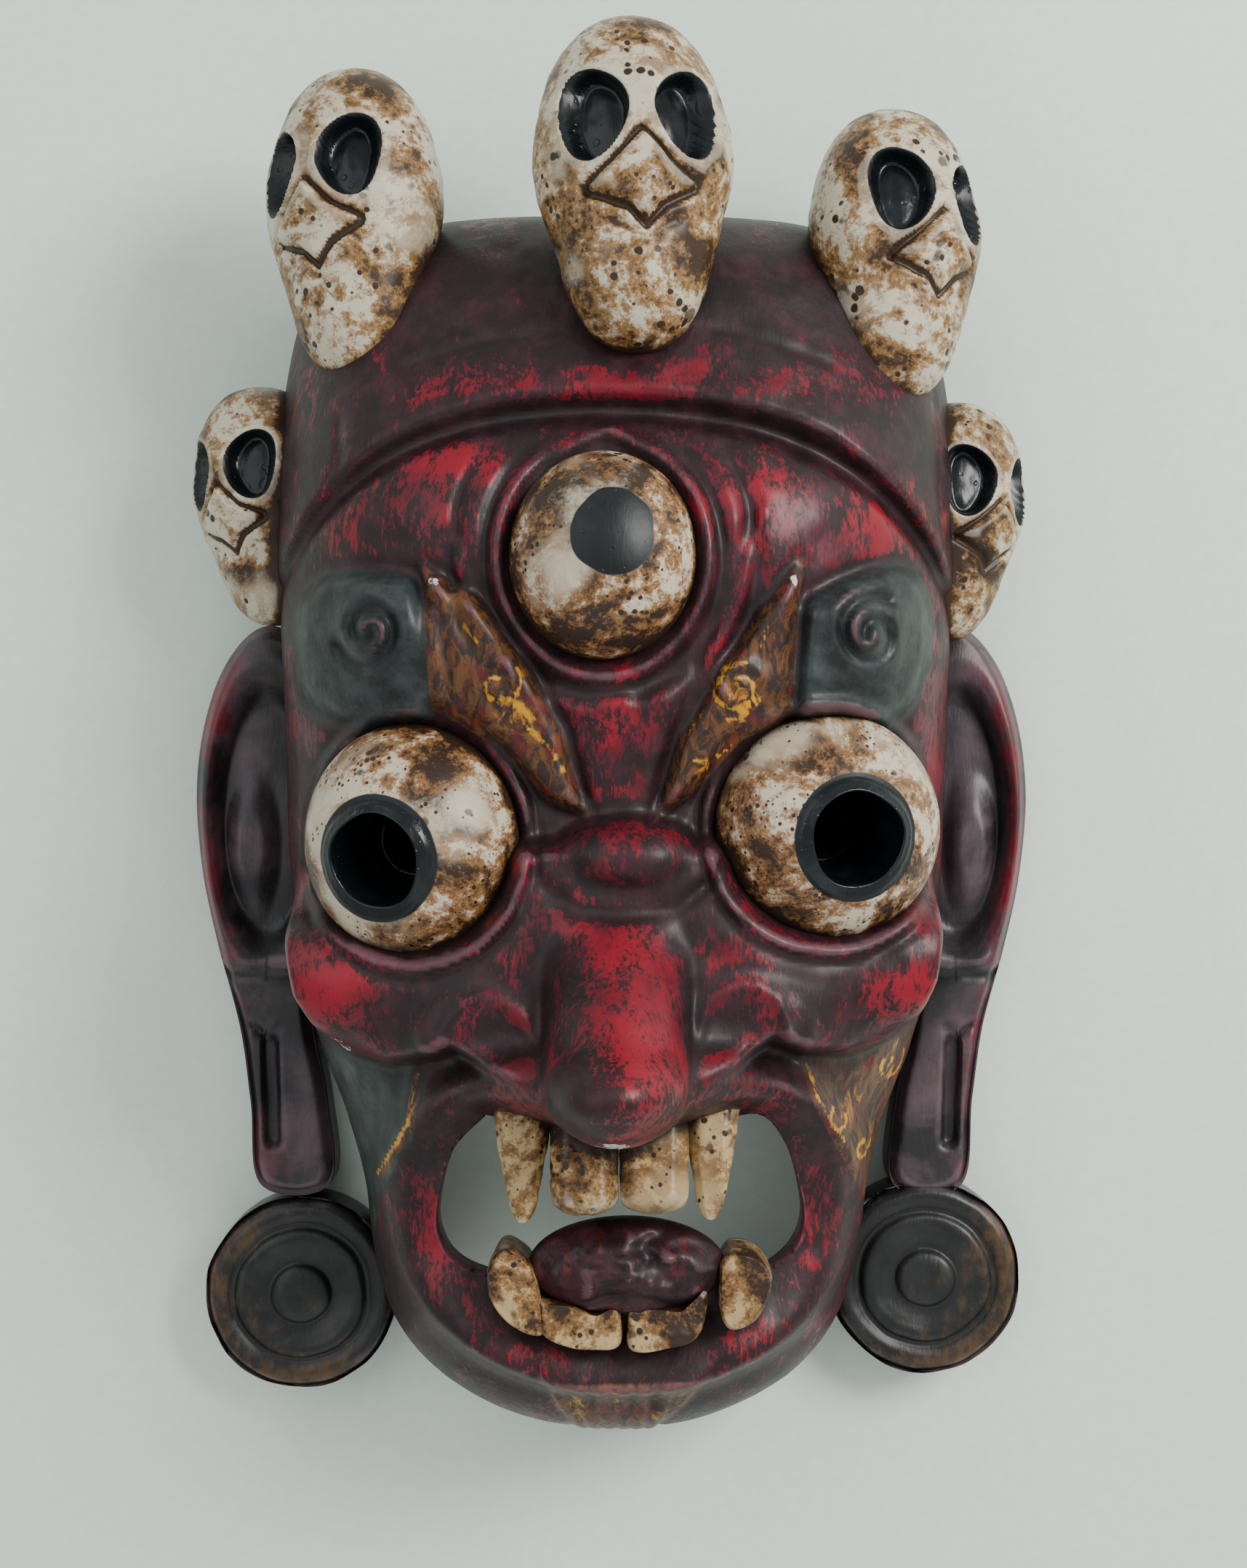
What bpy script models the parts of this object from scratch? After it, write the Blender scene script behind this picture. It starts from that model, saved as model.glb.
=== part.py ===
"""Carved and painted wooden dance mask of a wrathful three-eyed deity, lying on its flat back.

Metres, +Z up. The face looks up, the crown of skulls points to +Y and the flat back rim lies on z = 0.
The mask is carved from one block, so it is one solid, hollowed from behind, open at the mouth and pupils.
Real sizes are in metres. The free carving is in shares of the mask's own height: one carver's unit,
U, is the height divided by HEIGHT_IN_UNITS.
"""
import math

import bmesh
import bpy
import numpy as np
from mathutils import Euler, Matrix, Vector

# Driving sizes
MASK_HEIGHT = 0.427
WALL = 0.009
EYE_BORE = 0.027
EYE_BORE_BACK = 0.020
IRIS_RING_WIDTH = 0.0045
IRIS_RING_TOP = 0.0252
SKULL_SOCKET_DEPTH = 0.008
EAR_THICKNESS = 0.026
EAR_DISC_DIAMETER = 0.063
EAR_DISC_THICKNESS = 0.024
DISC_RING_HEIGHT = 0.003
BAND_STEP = 0.005
LID_HEIGHT = 0.005
BROW_HEIGHT = 0.008
TONGUE_THICKNESS = 0.014
MID_FACE_STEP = 0.013

HEIGHT_IN_UNITS = 427.0
U = MASK_HEIGHT / HEIGHT_IN_UNITS

# Mesh density
HEAD_ROW_COUNT = 150
HEAD_POINT_COUNT = 110
HEAD_SHARE_KEPT = 0.108
CAVITY_ROW_COUNT = 24
CAVITY_POINT_COUNT = 18
SKULL_SIDES = 14
SOCKET_SIDES = 8
BALL_SIDES = 16
BALL_RINGS = 10
POST_SIDES = 20
DISC_STEPS = 20
EAR_POINTS = 22
TOOTH_SIDES = 8
TOOTH_SHARES = (0.0, 0.4, 0.75, 1.0)
MERGE = 0.00002
BELOW = 0.010
CLEAR_TOP = 200.0

# Middle of the whole mask in the carver's plan
PLAN_CENTRE = (0.0, -3.5)

# Head: stations from the crown to the chin, each with y, depth and half-width in units
HEAD_STATIONS = (
    (163, 0, 60), (163, 36, 66), (160, 54, 76), (153, 68, 89), (138, 82, 101), (112, 94, 107),
    (80, 108, 109), (50, 115, 109), (20, 112, 108), (-10, 106, 107), (-40, 104, 106), (-75, 104, 103),
    (-98, 100, 96), (-120, 96, 88), (-142, 93, 82), (-165, 90, 79), (-185, 86, 73), (-200, 80, 61),
    (-211, 68, 42), (-216, 48, 27), (-217, 20, 20), (-217, 0, 14),
)
SECTION_POWER = 2.7
HEAD_LEAN = 1.5
# The carving fades in over these heights above the back, in units
CARVING_FADE = (4.0, 40.0)

# Eyes, in units: centre x, centre y, half-width, half-height
LEFT_EYE = (-58, -32, 33, 35)
RIGHT_EYE = (64, -28, 34.5, 34)
EYE_CENTRE_HEIGHT = 93
EYE_DEPTH = 27
EYE_TURN = 19
THIRD_EYE = (-2, 50, 27, 30)
THIRD_EYE_HEIGHT = 112
THIRD_EYE_DEPTH = 24
# Lid of the third eye: its oval, then the place, width and rise share of its peak
THIRD_LID = (-2, 50, 32, 36.5)
LID_PEAK = (-1, 68, 6, 0.12)
# Crests and grooves round an eye: place and half-width as shares of the eye, then depth in units
THIRD_LID_CREST = (0.96, 0.10)
THIRD_LID_GROOVE = (1.26, 0.11, 3.5)
# The groove fades out below these heights, which rise towards the temples by the share
LID_GROOVE_FADE = (30, 55, 0.5)
EYELID_CREST = (1.06, 0.06)
EYELID_GROOVE = (1.24, 0.08, 3.0)
EYE_SEAT = (0.92, 0.70, 9.0)
IRIS_TURNS = ((12, -22, 0), (7, 16, 0))
# Pupil bore along its own axis, from the middle of the eye: far end, where it opens out, and its full width
BORE_END, BORE_BACK, BORE_TOP = -60, -8, 22

# Crown band, in units: the arch of its lower edge, how wide its step is, and the groove below it
BAND_ARCH = (94.3, 0.0022, 2.2e-7)
BAND_STEP_WIDTH = 7
BAND_GROOVE = (-1.5, 3.5, 4.0)
# Forehead swellings either side: x, y, half-width, half-height, rise
FOREHEAD_SWELLING = (48, 66, 24, 16, 4.0)
# Root of the nose between the brows: half-width, its growth upwards, lower and upper ends, rise
NOSE_ROOT = (7, 0.14, -28, 24, 3.0)
NOSE_ROOT_FADES = (6, 14)
INNER_BROW_SHARE = 0.75
# Carved edges: where the slope starts outside an outline and ends inside it
BROW_EDGE = (-1.5, 5.0)
INNER_BROW_EDGE = (-1.0, 3.5)
MID_FACE_EDGE = (-2.5, 9.0)
GOATEE_EDGE = (-1.0, 2.0)

# Brows and the raised middle of the face, as outlines in units
BROW_BLOCKS = (
    ((-93, 36), (-86, 45), (-70, 46), (-54, 39), (-50, 8), (-66, 3), (-83, 4), (-93, 14)),
    ((55, 36), (72, 46), (90, 47), (95, 36), (94, 16), (83, 3), (66, 2), (53, 5)),
)
INNER_BROWS = (
    ((-54, 47), (-38, 37), (-25, 21), (-14, 0), (-6, -25), (-17, -21), (-32, -4), (-51, 6)),
    ((55, 48), (43, 33), (30, 14), (20, -4), (13, -26), (23, -19), (37, -3), (53, 5)),
)
MID_FACE = (
    (-97, -40), (-99, -62), (-96, -79), (-89, -90), (-78, -97), (-65, -99), (-55, -96), (-45, -93),
    (-31, -100), (-22, -105), (-17, -113), (-8, -117), (10, -117), (19, -112), (24, -105), (35, -98),
    (47, -90), (57, -94), (70, -96), (84, -93), (94, -86), (99, -74), (101, -60), (99, -36), (0, -30),
)

# Mounds: centre x, centre y, half-width, half-height, foot, rise, turn in degrees, blend
MOUNDS = (
    (-70, -74, 35, 21, 84, 20, -12, 8), (74, -70, 35, 21, 84, 20, 12, 8),
    (-29, -92, 26, 17, 107, 14, -20, 10), (33, -89, 26, 17, 107, 14, 20, 10),
    (5, -36.5, 21.5, 12, 106, 17, 0, 2),
)

# Nose: stations with y, ridge height and half-width
NOSE_X = 2
NOSE_STATIONS = (
    (-44, 110, 22), (-52, 117, 25), (-65, 130, 23), (-80, 143, 21), (-93, 152, 20.5), (-103, 157, 20),
    (-110, 154, 18), (-115, 145, 13), (-118.5, 128, 8),
)
NOSE_DROP = 32
NOSE_FLARE = 0.8
NOSE_BLEND = 9
MOUND_SKIRT = 3

# Mouth: the crest of the lips and the opening, in units
LIP_CREST = (4, -142, 71, 51)
LIP_HEIGHT = 14
LIP_OUTER, LIP_INNER = 5, 20
MOUTH_OUTLINE = (
    (-36, -112), (-46, -123), (-51, -138), (-51.5, -150), (-45, -159), (-28, -163), (3, -165), (38, -163),
    (52, -158), (58, -149), (57, -137), (52, -122), (43, -112), (26, -117), (3, -120), (-20, -117),
)
LIP_TOP_FADE = (-84, -106)
GOATEE = ((-21, -192), (31, -191), (11, -218), (-9, -218))
GOATEE_RISE = 2.5

# Skulls: centre, half-width, half-length, half-depth, then turn about X, Y and Z in degrees
CROWN_SKULLS = {
    "centre_skull": ((7, 160, 96), (30, 50, 26), (-6, 6, 1)),
    "left_skull": ((-78, 155, 68), (29, 48, 25), (-8, -32, 6)),
    "right_skull": ((87, 146, 66), (28, 45, 25), (-8, 33, -4)),
}
SIDE_SKULLS = {
    "left_side_skull": ((-110, 73, 34), (24, 38, 22), (0, -36, 6)),
    "right_side_skull": ((109, 68, 34), (24, 38, 22), (0, 38, -6)),
}
SKULL_PROFILE = ((0, 0.12), (0.03, 0.42), (0.12, 0.74), (0.26, 0.95), (0.42, 1.0), (0.56, 0.93),
                 (0.70, 0.78), (0.84, 0.64), (0.95, 0.46), (1.0, 0.2))
SOCKET_SHARE = 0.36
SOCKET_SPREAD = 0.50
SOCKET_PLACE = 0.27
SOCKET_STRETCH = 1.15

# Ears and ear discs, in units
EAR_OUTLINE = ((92, 30), (112, 36), (124, 26), (132, 6), (135, -18), (133, -44), (128, -68), (121, -94),
               (118, -118), (114, -142), (84, -142), (80, -104), (88, -60))
EAR_RINGS = ((1.0, -0.3), (1.0, 0.82), (0.93, 1.0), (0.80, 1.0), (0.70, 0.66))
EAR_HUB = (103, -50)
DISC_CENTRES = ((-101, -181), (102, -176))
# Ear disc from its middle to its edge: share of the radius, and 1 on a ring or 0 between the rings
DISC_PROFILE = ((0.0, 1), (0.26, 1), (0.34, 0), (0.60, 0), (0.66, 1), (0.76, 1), (0.80, 0), (1.0, 0))
# Lug between disc and ear, in units: half-width, narrower end, length, set outwards, height
DISC_LUG = (8, 6.4, 48, 10, 20)

# Upper teeth, in units: root, tip, root half-width, tip half-width, half-thickness
TOOTH_TAPER = 1.3
TOOTH_THINNING = 0.45
UPPER_TEETH = {
    "left_fang": ((-25.5, -104, 98), (-25, -141, 109), 9.5, 2.2, 6.5),
    "left_front_tooth": ((-7.5, -104, 98), (-7.0, -139, 110), 10.5, 9.6, 7.0),
    "right_front_tooth": ((13, -104, 98), (12.5, -139, 110), 10.5, 9.6, 7.0),
    "right_fang": ((30, -104, 98), (29, -140, 109), 9.0, 2.2, 6.5),
}
# Lower teeth: low tiles with drawn outlines, and their levels with height and share of the outline
LOWER_TEETH = {
    "left_canine": ((-36, -158), (-32, -151), (-27, -152), (-22, -158), (-19, -174), (-22, -177), (-30, -173),
                    (-35, -166)),
    "left_lower_tooth": ((-21, -166), (-12, -167), (-4, -170), (3, -168.5), (3, -179.5), (-4, -181), (-13, -180),
                         (-20, -176)),
    "right_lower_tooth": ((5, -169), (12, -168), (22, -168.5), (28, -163), (28, -171), (25, -178), (17, -180.5),
                          (6, -181)),
    "right_canine": ((32, -156), (36, -151.5), (43, -153), (47.5, -159), (46, -167), (42, -173), (35, -175),
                     (32, -168)),
}
TILE_LEVELS = ((82, 1.0), (99, 1.0), (102, 0.78))
# Tongue: centre x, centre y, half-width, half-length, then the height of its middle
TONGUE = (5, -157, 28, 14)
TONGUE_HEIGHT = 95


def smooth(low, high, value):
    """Runs from 0 at low to 1 at high with soft ends."""
    t = np.clip((value - low) / (high - low), 0.0, 1.0)
    return t * t * (3.0 - 2.0 * t)


def run_through(stations, count):
    """Even steps along a smooth curve through the stations (Catmull-Rom)."""
    points = np.array(stations, dtype=float)
    points = np.vstack([2 * points[0] - points[1], points, 2 * points[-1] - points[-2]])
    fine = []
    for i in range(1, len(points) - 2):
        a, b, c, d = points[i - 1:i + 3]
        for t in np.linspace(0.0, 1.0, 12, endpoint=False):
            fine.append(0.5 * (2 * b + (c - a) * t + (2 * a - 5 * b + 4 * c - d) * t**2
                               + (3 * b - a - 3 * c + d) * t**3))
    fine.append(points[-2])
    fine = np.array(fine)
    steps = np.linalg.norm(np.diff(fine[:, :2], axis=0), axis=1)
    along = np.concatenate([[0.0], np.cumsum(steps)])
    wanted = np.linspace(0.0, along[-1], count)
    return np.stack([np.interp(wanted, along, fine[:, k]) for k in range(points.shape[1])], axis=1)


def oval(x, y, form):
    """Distance from an oval's middle, 1 on its edge."""
    cx, cy, rx, ry = form
    return np.sqrt(((x - cx) / rx) ** 2 + ((y - cy) / ry) ** 2)


def hump(value, middle, width):
    """1 at the middle and nearly 0 a width or two away."""
    return np.exp(-(((value - middle) / width) ** 2))


def mound(x, y, form):
    """Heights of a turned oval mound, falling away outside its edge."""
    cx, cy, rx, ry, foot, rise, turn = form
    c, s = math.cos(math.radians(turn)), math.sin(math.radians(turn))
    u, v = x - cx, y - cy
    r = np.hypot((u * c + v * s) / rx, (v * c - u * s) / ry)
    return foot + rise * np.where(r < 1.0, np.sqrt(np.clip(1.0 - r * r, 0.0, 1.0)), MOUND_SKIRT * (1.0 - r))


def inside_outline(x, y, outline):
    """Distance inside a closed outline, negative outside."""
    best = np.full(np.shape(x), 1e9)
    inside = np.zeros(np.shape(x), dtype=bool)
    for (ax, ay), (bx, by) in zip(outline, outline[1:] + outline[:1]):
        ex, ey = bx - ax, by - ay
        t = np.clip(((x - ax) * ex + (y - ay) * ey) / (ex * ex + ey * ey), 0.0, 1.0)
        best = np.minimum(best, np.hypot(x - ax - ex * t, y - ay - ey * t))
        crosses = ((ay > y) != (by > y)) & (x < ex * (y - ay) / (by - ay + 1e-12) + ax)
        inside ^= crosses
    return np.where(inside, best, -best)


def soft_max(a, b, blend):
    """The larger of two heights, rounded over where they meet."""
    share = np.clip(0.5 + 0.5 * (b - a) / blend, 0.0, 1.0)
    return a * (1.0 - share) + b * share + blend * share * (1.0 - share)


def band_edge(x):
    """The crown band's lower edge, an arch over the forehead."""
    top, bend, droop = BAND_ARCH
    return top - bend * x**2 - droop * x**4


def carve_brow(x, y, z):
    """Crown band, forehead, third eye's lid, brows and the root of the nose."""
    over_band = y - band_edge(x)
    place, width, depth = BAND_GROOVE
    z = z + BAND_STEP / U * smooth(0.0, BAND_STEP_WIDTH, over_band) - depth * hump(over_band, place, width)
    swell_x, swell_y, swell_width, swell_height, rise = FOREHEAD_SWELLING
    for side in (-1, 1):
        z = z + rise * hump(x, side * swell_x, swell_width) * hump(y, swell_y, swell_height)
    peak_x, peak_y, peak_width, peak_share = LID_PEAK
    peaked = y - peak_share * np.maximum(y - peak_y, 0.0) * hump(x, peak_x, peak_width)
    lid = oval(x, peaked, THIRD_LID)
    z = z + LID_HEIGHT / U * hump(lid, *THIRD_LID_CREST)
    place, width, depth = THIRD_LID_GROOVE
    fade_low, fade_high, fade_slope = LID_GROOVE_FADE
    z = z - depth * hump(lid, place, width) * smooth(fade_low, fade_high, y + fade_slope * np.abs(x))
    for block, inner in zip(BROW_BLOCKS, INNER_BROWS):
        z = z + BROW_HEIGHT / U * smooth(*BROW_EDGE, inside_outline(x, y, block))
        step = smooth(*INNER_BROW_EDGE, inside_outline(x, y, inner))
        z = z + INNER_BROW_SHARE * BROW_HEIGHT / U * step
    half, growth, low, high, rise = NOSE_ROOT
    wedge = half + growth * np.maximum(y - low, 0.0)
    low_fade, high_fade = NOSE_ROOT_FADES
    ends = smooth(low - low_fade, low + low_fade, y) * smooth(high + high_fade, high - high_fade, y)
    return z + rise * np.exp(-(((x - NOSE_X) / wedge) ** 4)) * ends


def carve_nose(x, y, z):
    """The raised middle of the face with cheeks, nostrils and nose."""
    z = z + MID_FACE_STEP / U * smooth(*MID_FACE_EDGE, inside_outline(x, y, MID_FACE))
    for *form, blend in MOUNDS:
        z = soft_max(z, mound(x, y, form), blend)
    stations = np.array(NOSE_STATIONS[::-1], dtype=float)
    ridge = np.interp(y, stations[:, 0], stations[:, 1])
    share = np.abs(x - NOSE_X) / np.interp(y, stations[:, 0], stations[:, 2])
    flank = np.where(share < 1, 1 - np.sqrt(np.clip(1 - share**2, 0, 1)), 1 + NOSE_FLARE * (share - 1))
    on_nose = (y < NOSE_STATIONS[0][0]) & (y > NOSE_STATIONS[-1][0])
    return soft_max(z, np.where(on_nose, ridge - NOSE_DROP * flank, 0.0), NOSE_BLEND)


def carve(x, y, z):
    """Heights of the carved face over the plain head, in units."""
    z = carve_nose(x, y, carve_brow(x, y, z))
    place, width, depth = EYELID_GROOVE
    for eye in (LEFT_EYE, RIGHT_EYE):
        around = oval(x, y, eye)
        z = z + LID_HEIGHT / U * hump(around, *EYELID_CREST) - depth * hump(around, place, width)
        seat_edge, seat_floor, seat_depth = EYE_SEAT
        z = z - seat_depth * smooth(seat_edge, seat_floor, around)
    ring = (oval(x, y, LIP_CREST) - 1.0) * (LIP_CREST[2] + LIP_CREST[3]) / 2.0
    lip = np.where(ring > 0, hump(ring, 0.0, LIP_OUTER), np.clip(1.0 + ring / LIP_INNER, 0.0, 1.0))
    z = z + LIP_HEIGHT * lip * smooth(*LIP_TOP_FADE, y)
    return z + GOATEE_RISE * smooth(*GOATEE_EDGE, inside_outline(x, y, GOATEE))


def head_rows(rows, across, inset, carved):
    """The head's skin as rows of points in units, from the crown over the face to the chin."""
    grid = []
    for y, depth, half in run_through(HEAD_STATIONS, rows):
        turn = np.linspace(-math.pi / 2, math.pi / 2, across)
        side = np.sign(np.sin(turn)) * np.abs(np.sin(turn)) ** (2.0 / SECTION_POWER)
        rise = np.abs(np.cos(turn)) ** (2.0 / SECTION_POWER)
        rise[0] = rise[-1] = 0.0
        x = HEAD_LEAN + max(half - inset, 1.0) * side
        z = max(depth - inset, 0.0) * rise
        row_y = np.full(across, y * (HEIGHT_IN_UNITS / 2 - inset) / (HEIGHT_IN_UNITS / 2))
        if carved:
            z = z + (carve(x, row_y, z) - z) * smooth(*CARVING_FADE, z)
        grid.append(np.stack([x, row_y, z], axis=1))
    return np.array(grid)


def solid_from_rows(name, rows, floor):
    """Closes a skin of rows with walls down to a flat floor."""
    count, across = rows.shape[:2]
    verts = [tuple(p) for p in rows.reshape(-1, 3)]
    faces = []
    for i in range(count - 1):
        for j in range(across - 1):
            a = i * across + j
            faces.append((a, a + across, a + across + 1, a + 1))
    edge = list(range(across))
    edge += [i * across + across - 1 for i in range(1, count)]
    edge += [(count - 1) * across + j for j in range(across - 2, -1, -1)]
    edge += [i * across for i in range(count - 2, 0, -1)]
    low = len(verts)
    verts += [(verts[k][0], verts[k][1], floor) for k in edge]
    for k, here in enumerate(edge):
        after = (k + 1) % len(edge)
        faces.append((here, edge[after], low + after, low + k))
    faces.append(tuple(low + k for k in range(len(edge))))
    return new_object(name, verts, faces)


def helper(made):
    """Files an object with the helpers, out of sight."""
    HELPERS.objects.link(made)
    made.hide_render = True
    made.display_type = "WIRE"
    return made


def new_object(name, verts, faces):
    """A closed helper body in metres from points in units, its faces turned outwards."""
    mesh = bpy.data.meshes.new(name)
    middle = (*PLAN_CENTRE, 0.0)
    mesh.from_pydata([tuple((c - m) * U for c, m in zip(v, middle)) for v in verts], [], faces)
    work = bmesh.new()
    work.from_mesh(mesh)
    bmesh.ops.remove_doubles(work, verts=work.verts, dist=MERGE)
    bmesh.ops.recalc_face_normals(work, faces=work.faces)
    work.to_mesh(mesh)
    work.free()
    made = bpy.data.objects.new(name, mesh)
    return helper(made)


def loft(name, rings):
    """A closed body through rings of points, capped flat at both ends."""
    across = len(rings[0])
    verts = [tuple(p) for ring in rings for p in ring]
    faces = []
    for i in range(len(rings) - 1):
        for j in range(across):
            n = (j + 1) % across
            faces.append((i * across + j, i * across + n, (i + 1) * across + n, (i + 1) * across + j))
    faces.append(tuple(reversed(range(across))))
    faces.append(tuple((len(rings) - 1) * across + j for j in range(across)))
    return new_object(name, verts, faces)


def circle(count):
    """Even turns of a ring."""
    return np.linspace(0.0, math.tau, count, endpoint=False)


def placed(points, centre, turns):
    """Points turned by X, Y and Z degrees and moved to a centre."""
    matrix = Matrix.Translation(centre) @ Euler([math.radians(a) for a in turns]).to_matrix().to_4x4()
    return [tuple(matrix @ Vector(p)) for p in points]


def skull(name, centre, sizes, turns):
    """An egg with a narrower jaw, its face up and its crown to +Y, with two bored sockets."""
    half_width, half_length, half_depth = sizes
    turn = circle(SKULL_SIDES)
    rings = []
    for place, width in SKULL_PROFILE:
        y = half_length * (1.0 - 2.0 * place)
        ring = [(half_width * width * math.cos(a), y, half_depth * width * math.sin(a)) for a in turn]
        rings.append(placed(ring, centre, turns))
    add(loft(name, rings), "UNION")
    for side in (-1, 1):
        socket_centre = (side * half_width * SOCKET_SPREAD, half_length * (1.0 - 2.0 * SOCKET_PLACE), 0.0)
        face = half_depth * math.sqrt(1.0 - SOCKET_SPREAD**2)
        bore = []
        for z in (face - SKULL_SOCKET_DEPTH / U, face + half_depth):
            ring = [(socket_centre[0] + half_width * SOCKET_SHARE * math.cos(a),
                     socket_centre[1] + half_width * SOCKET_SHARE * SOCKET_STRETCH * math.sin(a), z)
                    for a in circle(SOCKET_SIDES)]
            bore.append(placed(ring, centre, turns))
        add(loft(f"{name}_socket_{'left' if side < 0 else 'right'}", bore), "DIFFERENCE")


def ear(name, side):
    """A flat ear with a raised rim and a hollowed middle, its back flush with the rim of the mask."""
    outline = run_through(EAR_OUTLINE + EAR_OUTLINE[:1], EAR_POINTS + 1)[:-1]
    rings = []
    for size, height in EAR_RINGS:
        ring = [(side * (EAR_HUB[0] + (x - EAR_HUB[0]) * size), EAR_HUB[1] + (y - EAR_HUB[1]) * size,
                 height * EAR_THICKNESS / U) for x, y in outline]
        rings.append(ring)
    add(loft(name, rings), "UNION")


def turned(name, profile, centre, steps):
    """A turned body: its profile runs down the outer side at +X and ends on the axis."""
    mesh = bpy.data.meshes.new(name)
    mesh.from_pydata([(x, 0.0, z) for x, z in profile], [(i, i + 1) for i in range(len(profile) - 1)], [])
    made = helper(bpy.data.objects.new(name, mesh))
    made.location = [(c - m) * U for c, m in zip(centre, (*PLAN_CENTRE, 0.0))]
    spin = made.modifiers.new("turn", "SCREW")
    spin.steps = spin.render_steps = steps
    spin.use_merge_vertices = True
    spin.merge_threshold = MERGE
    return made


def ear_disc(name, centre):
    """The round ear ornament: two rings and a boss, hung from the ear by a lug."""
    radius = EAR_DISC_DIAMETER / 2.0
    heights = (EAR_DISC_THICKNESS - DISC_RING_HEIGHT, EAR_DISC_THICKNESS)
    profile = [(share * radius, heights[on_ring]) for share, on_ring in DISC_PROFILE]
    profile += [(radius, -BELOW), (0.0, -BELOW)]
    add(turned(name, profile, (*centre, 0.0), DISC_STEPS), "UNION")
    half, end_half, length, outwards, top = DISC_LUG
    middle = centre[0] + math.copysign(outwards, centre[0])
    plan = ((-half, 0.0), (half, 0.0), (end_half, length), (-end_half, length))
    rings = [[(middle + x, centre[1] + y, z) for x, y in plan] for z in (-BELOW / U, top)]
    add(loft(f"{name}_lug", rings), "UNION")


def tooth(name, root, tip, root_half, tip_half, half_thick):
    """A tapering tooth from its root to its worn tip."""
    root, tip = np.array(root, dtype=float), np.array(tip, dtype=float)
    rings = []
    for share in TOOTH_SHARES:
        half = root_half + (tip_half - root_half) * share**TOOTH_TAPER
        thick = half_thick * (1.0 - TOOTH_THINNING * share)
        middle = root + (tip - root) * share
        rings.append([(middle[0] + half * math.cos(a), middle[1], middle[2] + thick * math.sin(a))
                      for a in circle(TOOTH_SIDES)])
    add(loft(name, rings), "UNION")


def tile(name, outline):
    """A low tooth with a drawn outline and a rounded top."""
    plan = np.array(outline, dtype=float)
    middle = plan.mean(axis=0)
    rings = [[(*(middle + (point - middle) * share), height) for point in plan] for height, share in TILE_LEVELS]
    add(loft(name, rings), "UNION")


def ball(name, centre, radii, turns=(0, 0, 0)):
    """An oval ball."""
    rings = []
    for tilt in np.linspace(-math.pi / 2, math.pi / 2, BALL_RINGS)[1:-1]:
        wide, high = math.cos(tilt), math.sin(tilt)
        ring = [(radii[0] * wide * math.cos(a), radii[1] * wide * math.sin(a), radii[2] * high)
                for a in circle(BALL_SIDES)]
        rings.append(placed(ring, centre, turns))
    return loft(name, rings)


def post(name, centre, levels, turns):
    """A round post through levels of height and radius, turned about its foot."""
    rings = []
    for height, radius in levels:
        ring = [(radius * math.cos(a), radius * math.sin(a), height) for a in circle(POST_SIDES)]
        rings.append(placed(ring, centre, turns))
    return loft(name, rings)


def add(tool, operation):
    """Joins a helper to the mask, or cuts it away."""
    cut = MASK.modifiers.new(tool.name, "BOOLEAN")
    cut.operation = operation
    cut.solver = "EXACT"
    cut.object = tool


def paint(name, colour, roughness):
    """A plain lacquer colour."""
    made = bpy.data.materials.new(name)
    made.use_nodes = True
    shader = made.node_tree.nodes["Principled BSDF"]
    shader.inputs["Base Color"].default_value = (*colour, 1.0)
    shader.inputs["Roughness"].default_value = roughness
    shader.inputs["Metallic"].default_value = 0.0
    return made


def collection(name):
    """A new collection in the scene."""
    made = bpy.data.collections.new(name)
    bpy.context.scene.collection.children.link(made)
    return made


for old in list(bpy.data.objects):
    bpy.data.objects.remove(old)
PARTS = collection("cham_mask")
HELPERS = collection("helpers")

# Head
MASK = solid_from_rows("mask", head_rows(HEAD_ROW_COUNT, HEAD_POINT_COUNT, 0.0, True), -BELOW / U)
HELPERS.objects.unlink(MASK)
PARTS.objects.link(MASK)
MASK.hide_render = False
MASK.display_type = "TEXTURED"
MASK.data.materials.append(paint("red_lacquer", (0.23, 0.02, 0.03), 0.45))
thin = MASK.modifiers.new("fewer_faces", "DECIMATE")
thin.ratio = HEAD_SHARE_KEPT

# Eyeballs
for label, form, side in (("left_eye", LEFT_EYE, -1), ("right_eye", RIGHT_EYE, 1)):
    seat = (form[0], form[1], EYE_CENTRE_HEIGHT)
    add(ball(label, seat, (form[2], form[3], EYE_DEPTH), (0, side * EYE_TURN, 0)), "UNION")
add(ball("third_eye", (*THIRD_EYE[:2], THIRD_EYE_HEIGHT), (*THIRD_EYE[2:], THIRD_EYE_DEPTH)), "UNION")

# Skulls
for label, (centre, sizes, turns) in (CROWN_SKULLS | SIDE_SKULLS).items():
    skull(label, centre, sizes, turns)

# Ears and their ornaments
for label, side in (("left_ear", -1), ("right_ear", 1)):
    ear(label, side)
for label, centre in zip(("left_ear_disc", "right_ear_disc"), DISC_CENTRES):
    ear_disc(label, centre)

# Flat back
back = bpy.data.meshes.new("back_plane")
work = bmesh.new()
bmesh.ops.create_cube(work, size=2.0)
bmesh.ops.scale(work, vec=(MASK_HEIGHT, MASK_HEIGHT, 2.0 * BELOW), verts=work.verts)
bmesh.ops.translate(work, vec=(0.0, 0.0, -2.0 * BELOW), verts=work.verts)
work.to_mesh(back)
work.free()
add(helper(bpy.data.objects.new("back_plane", back)), "DIFFERENCE")

# Hollow behind the face
cavity = head_rows(CAVITY_ROW_COUNT, CAVITY_POINT_COUNT, WALL / U, False)
add(solid_from_rows("cavity", cavity, -BELOW / U), "DIFFERENCE")

# Open mouth
mouth = [[(x, y, z) for x, y in MOUTH_OUTLINE] for z in (-BELOW / U, CLEAR_TOP)]
add(loft("mouth_opening", mouth), "DIFFERENCE")

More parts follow.
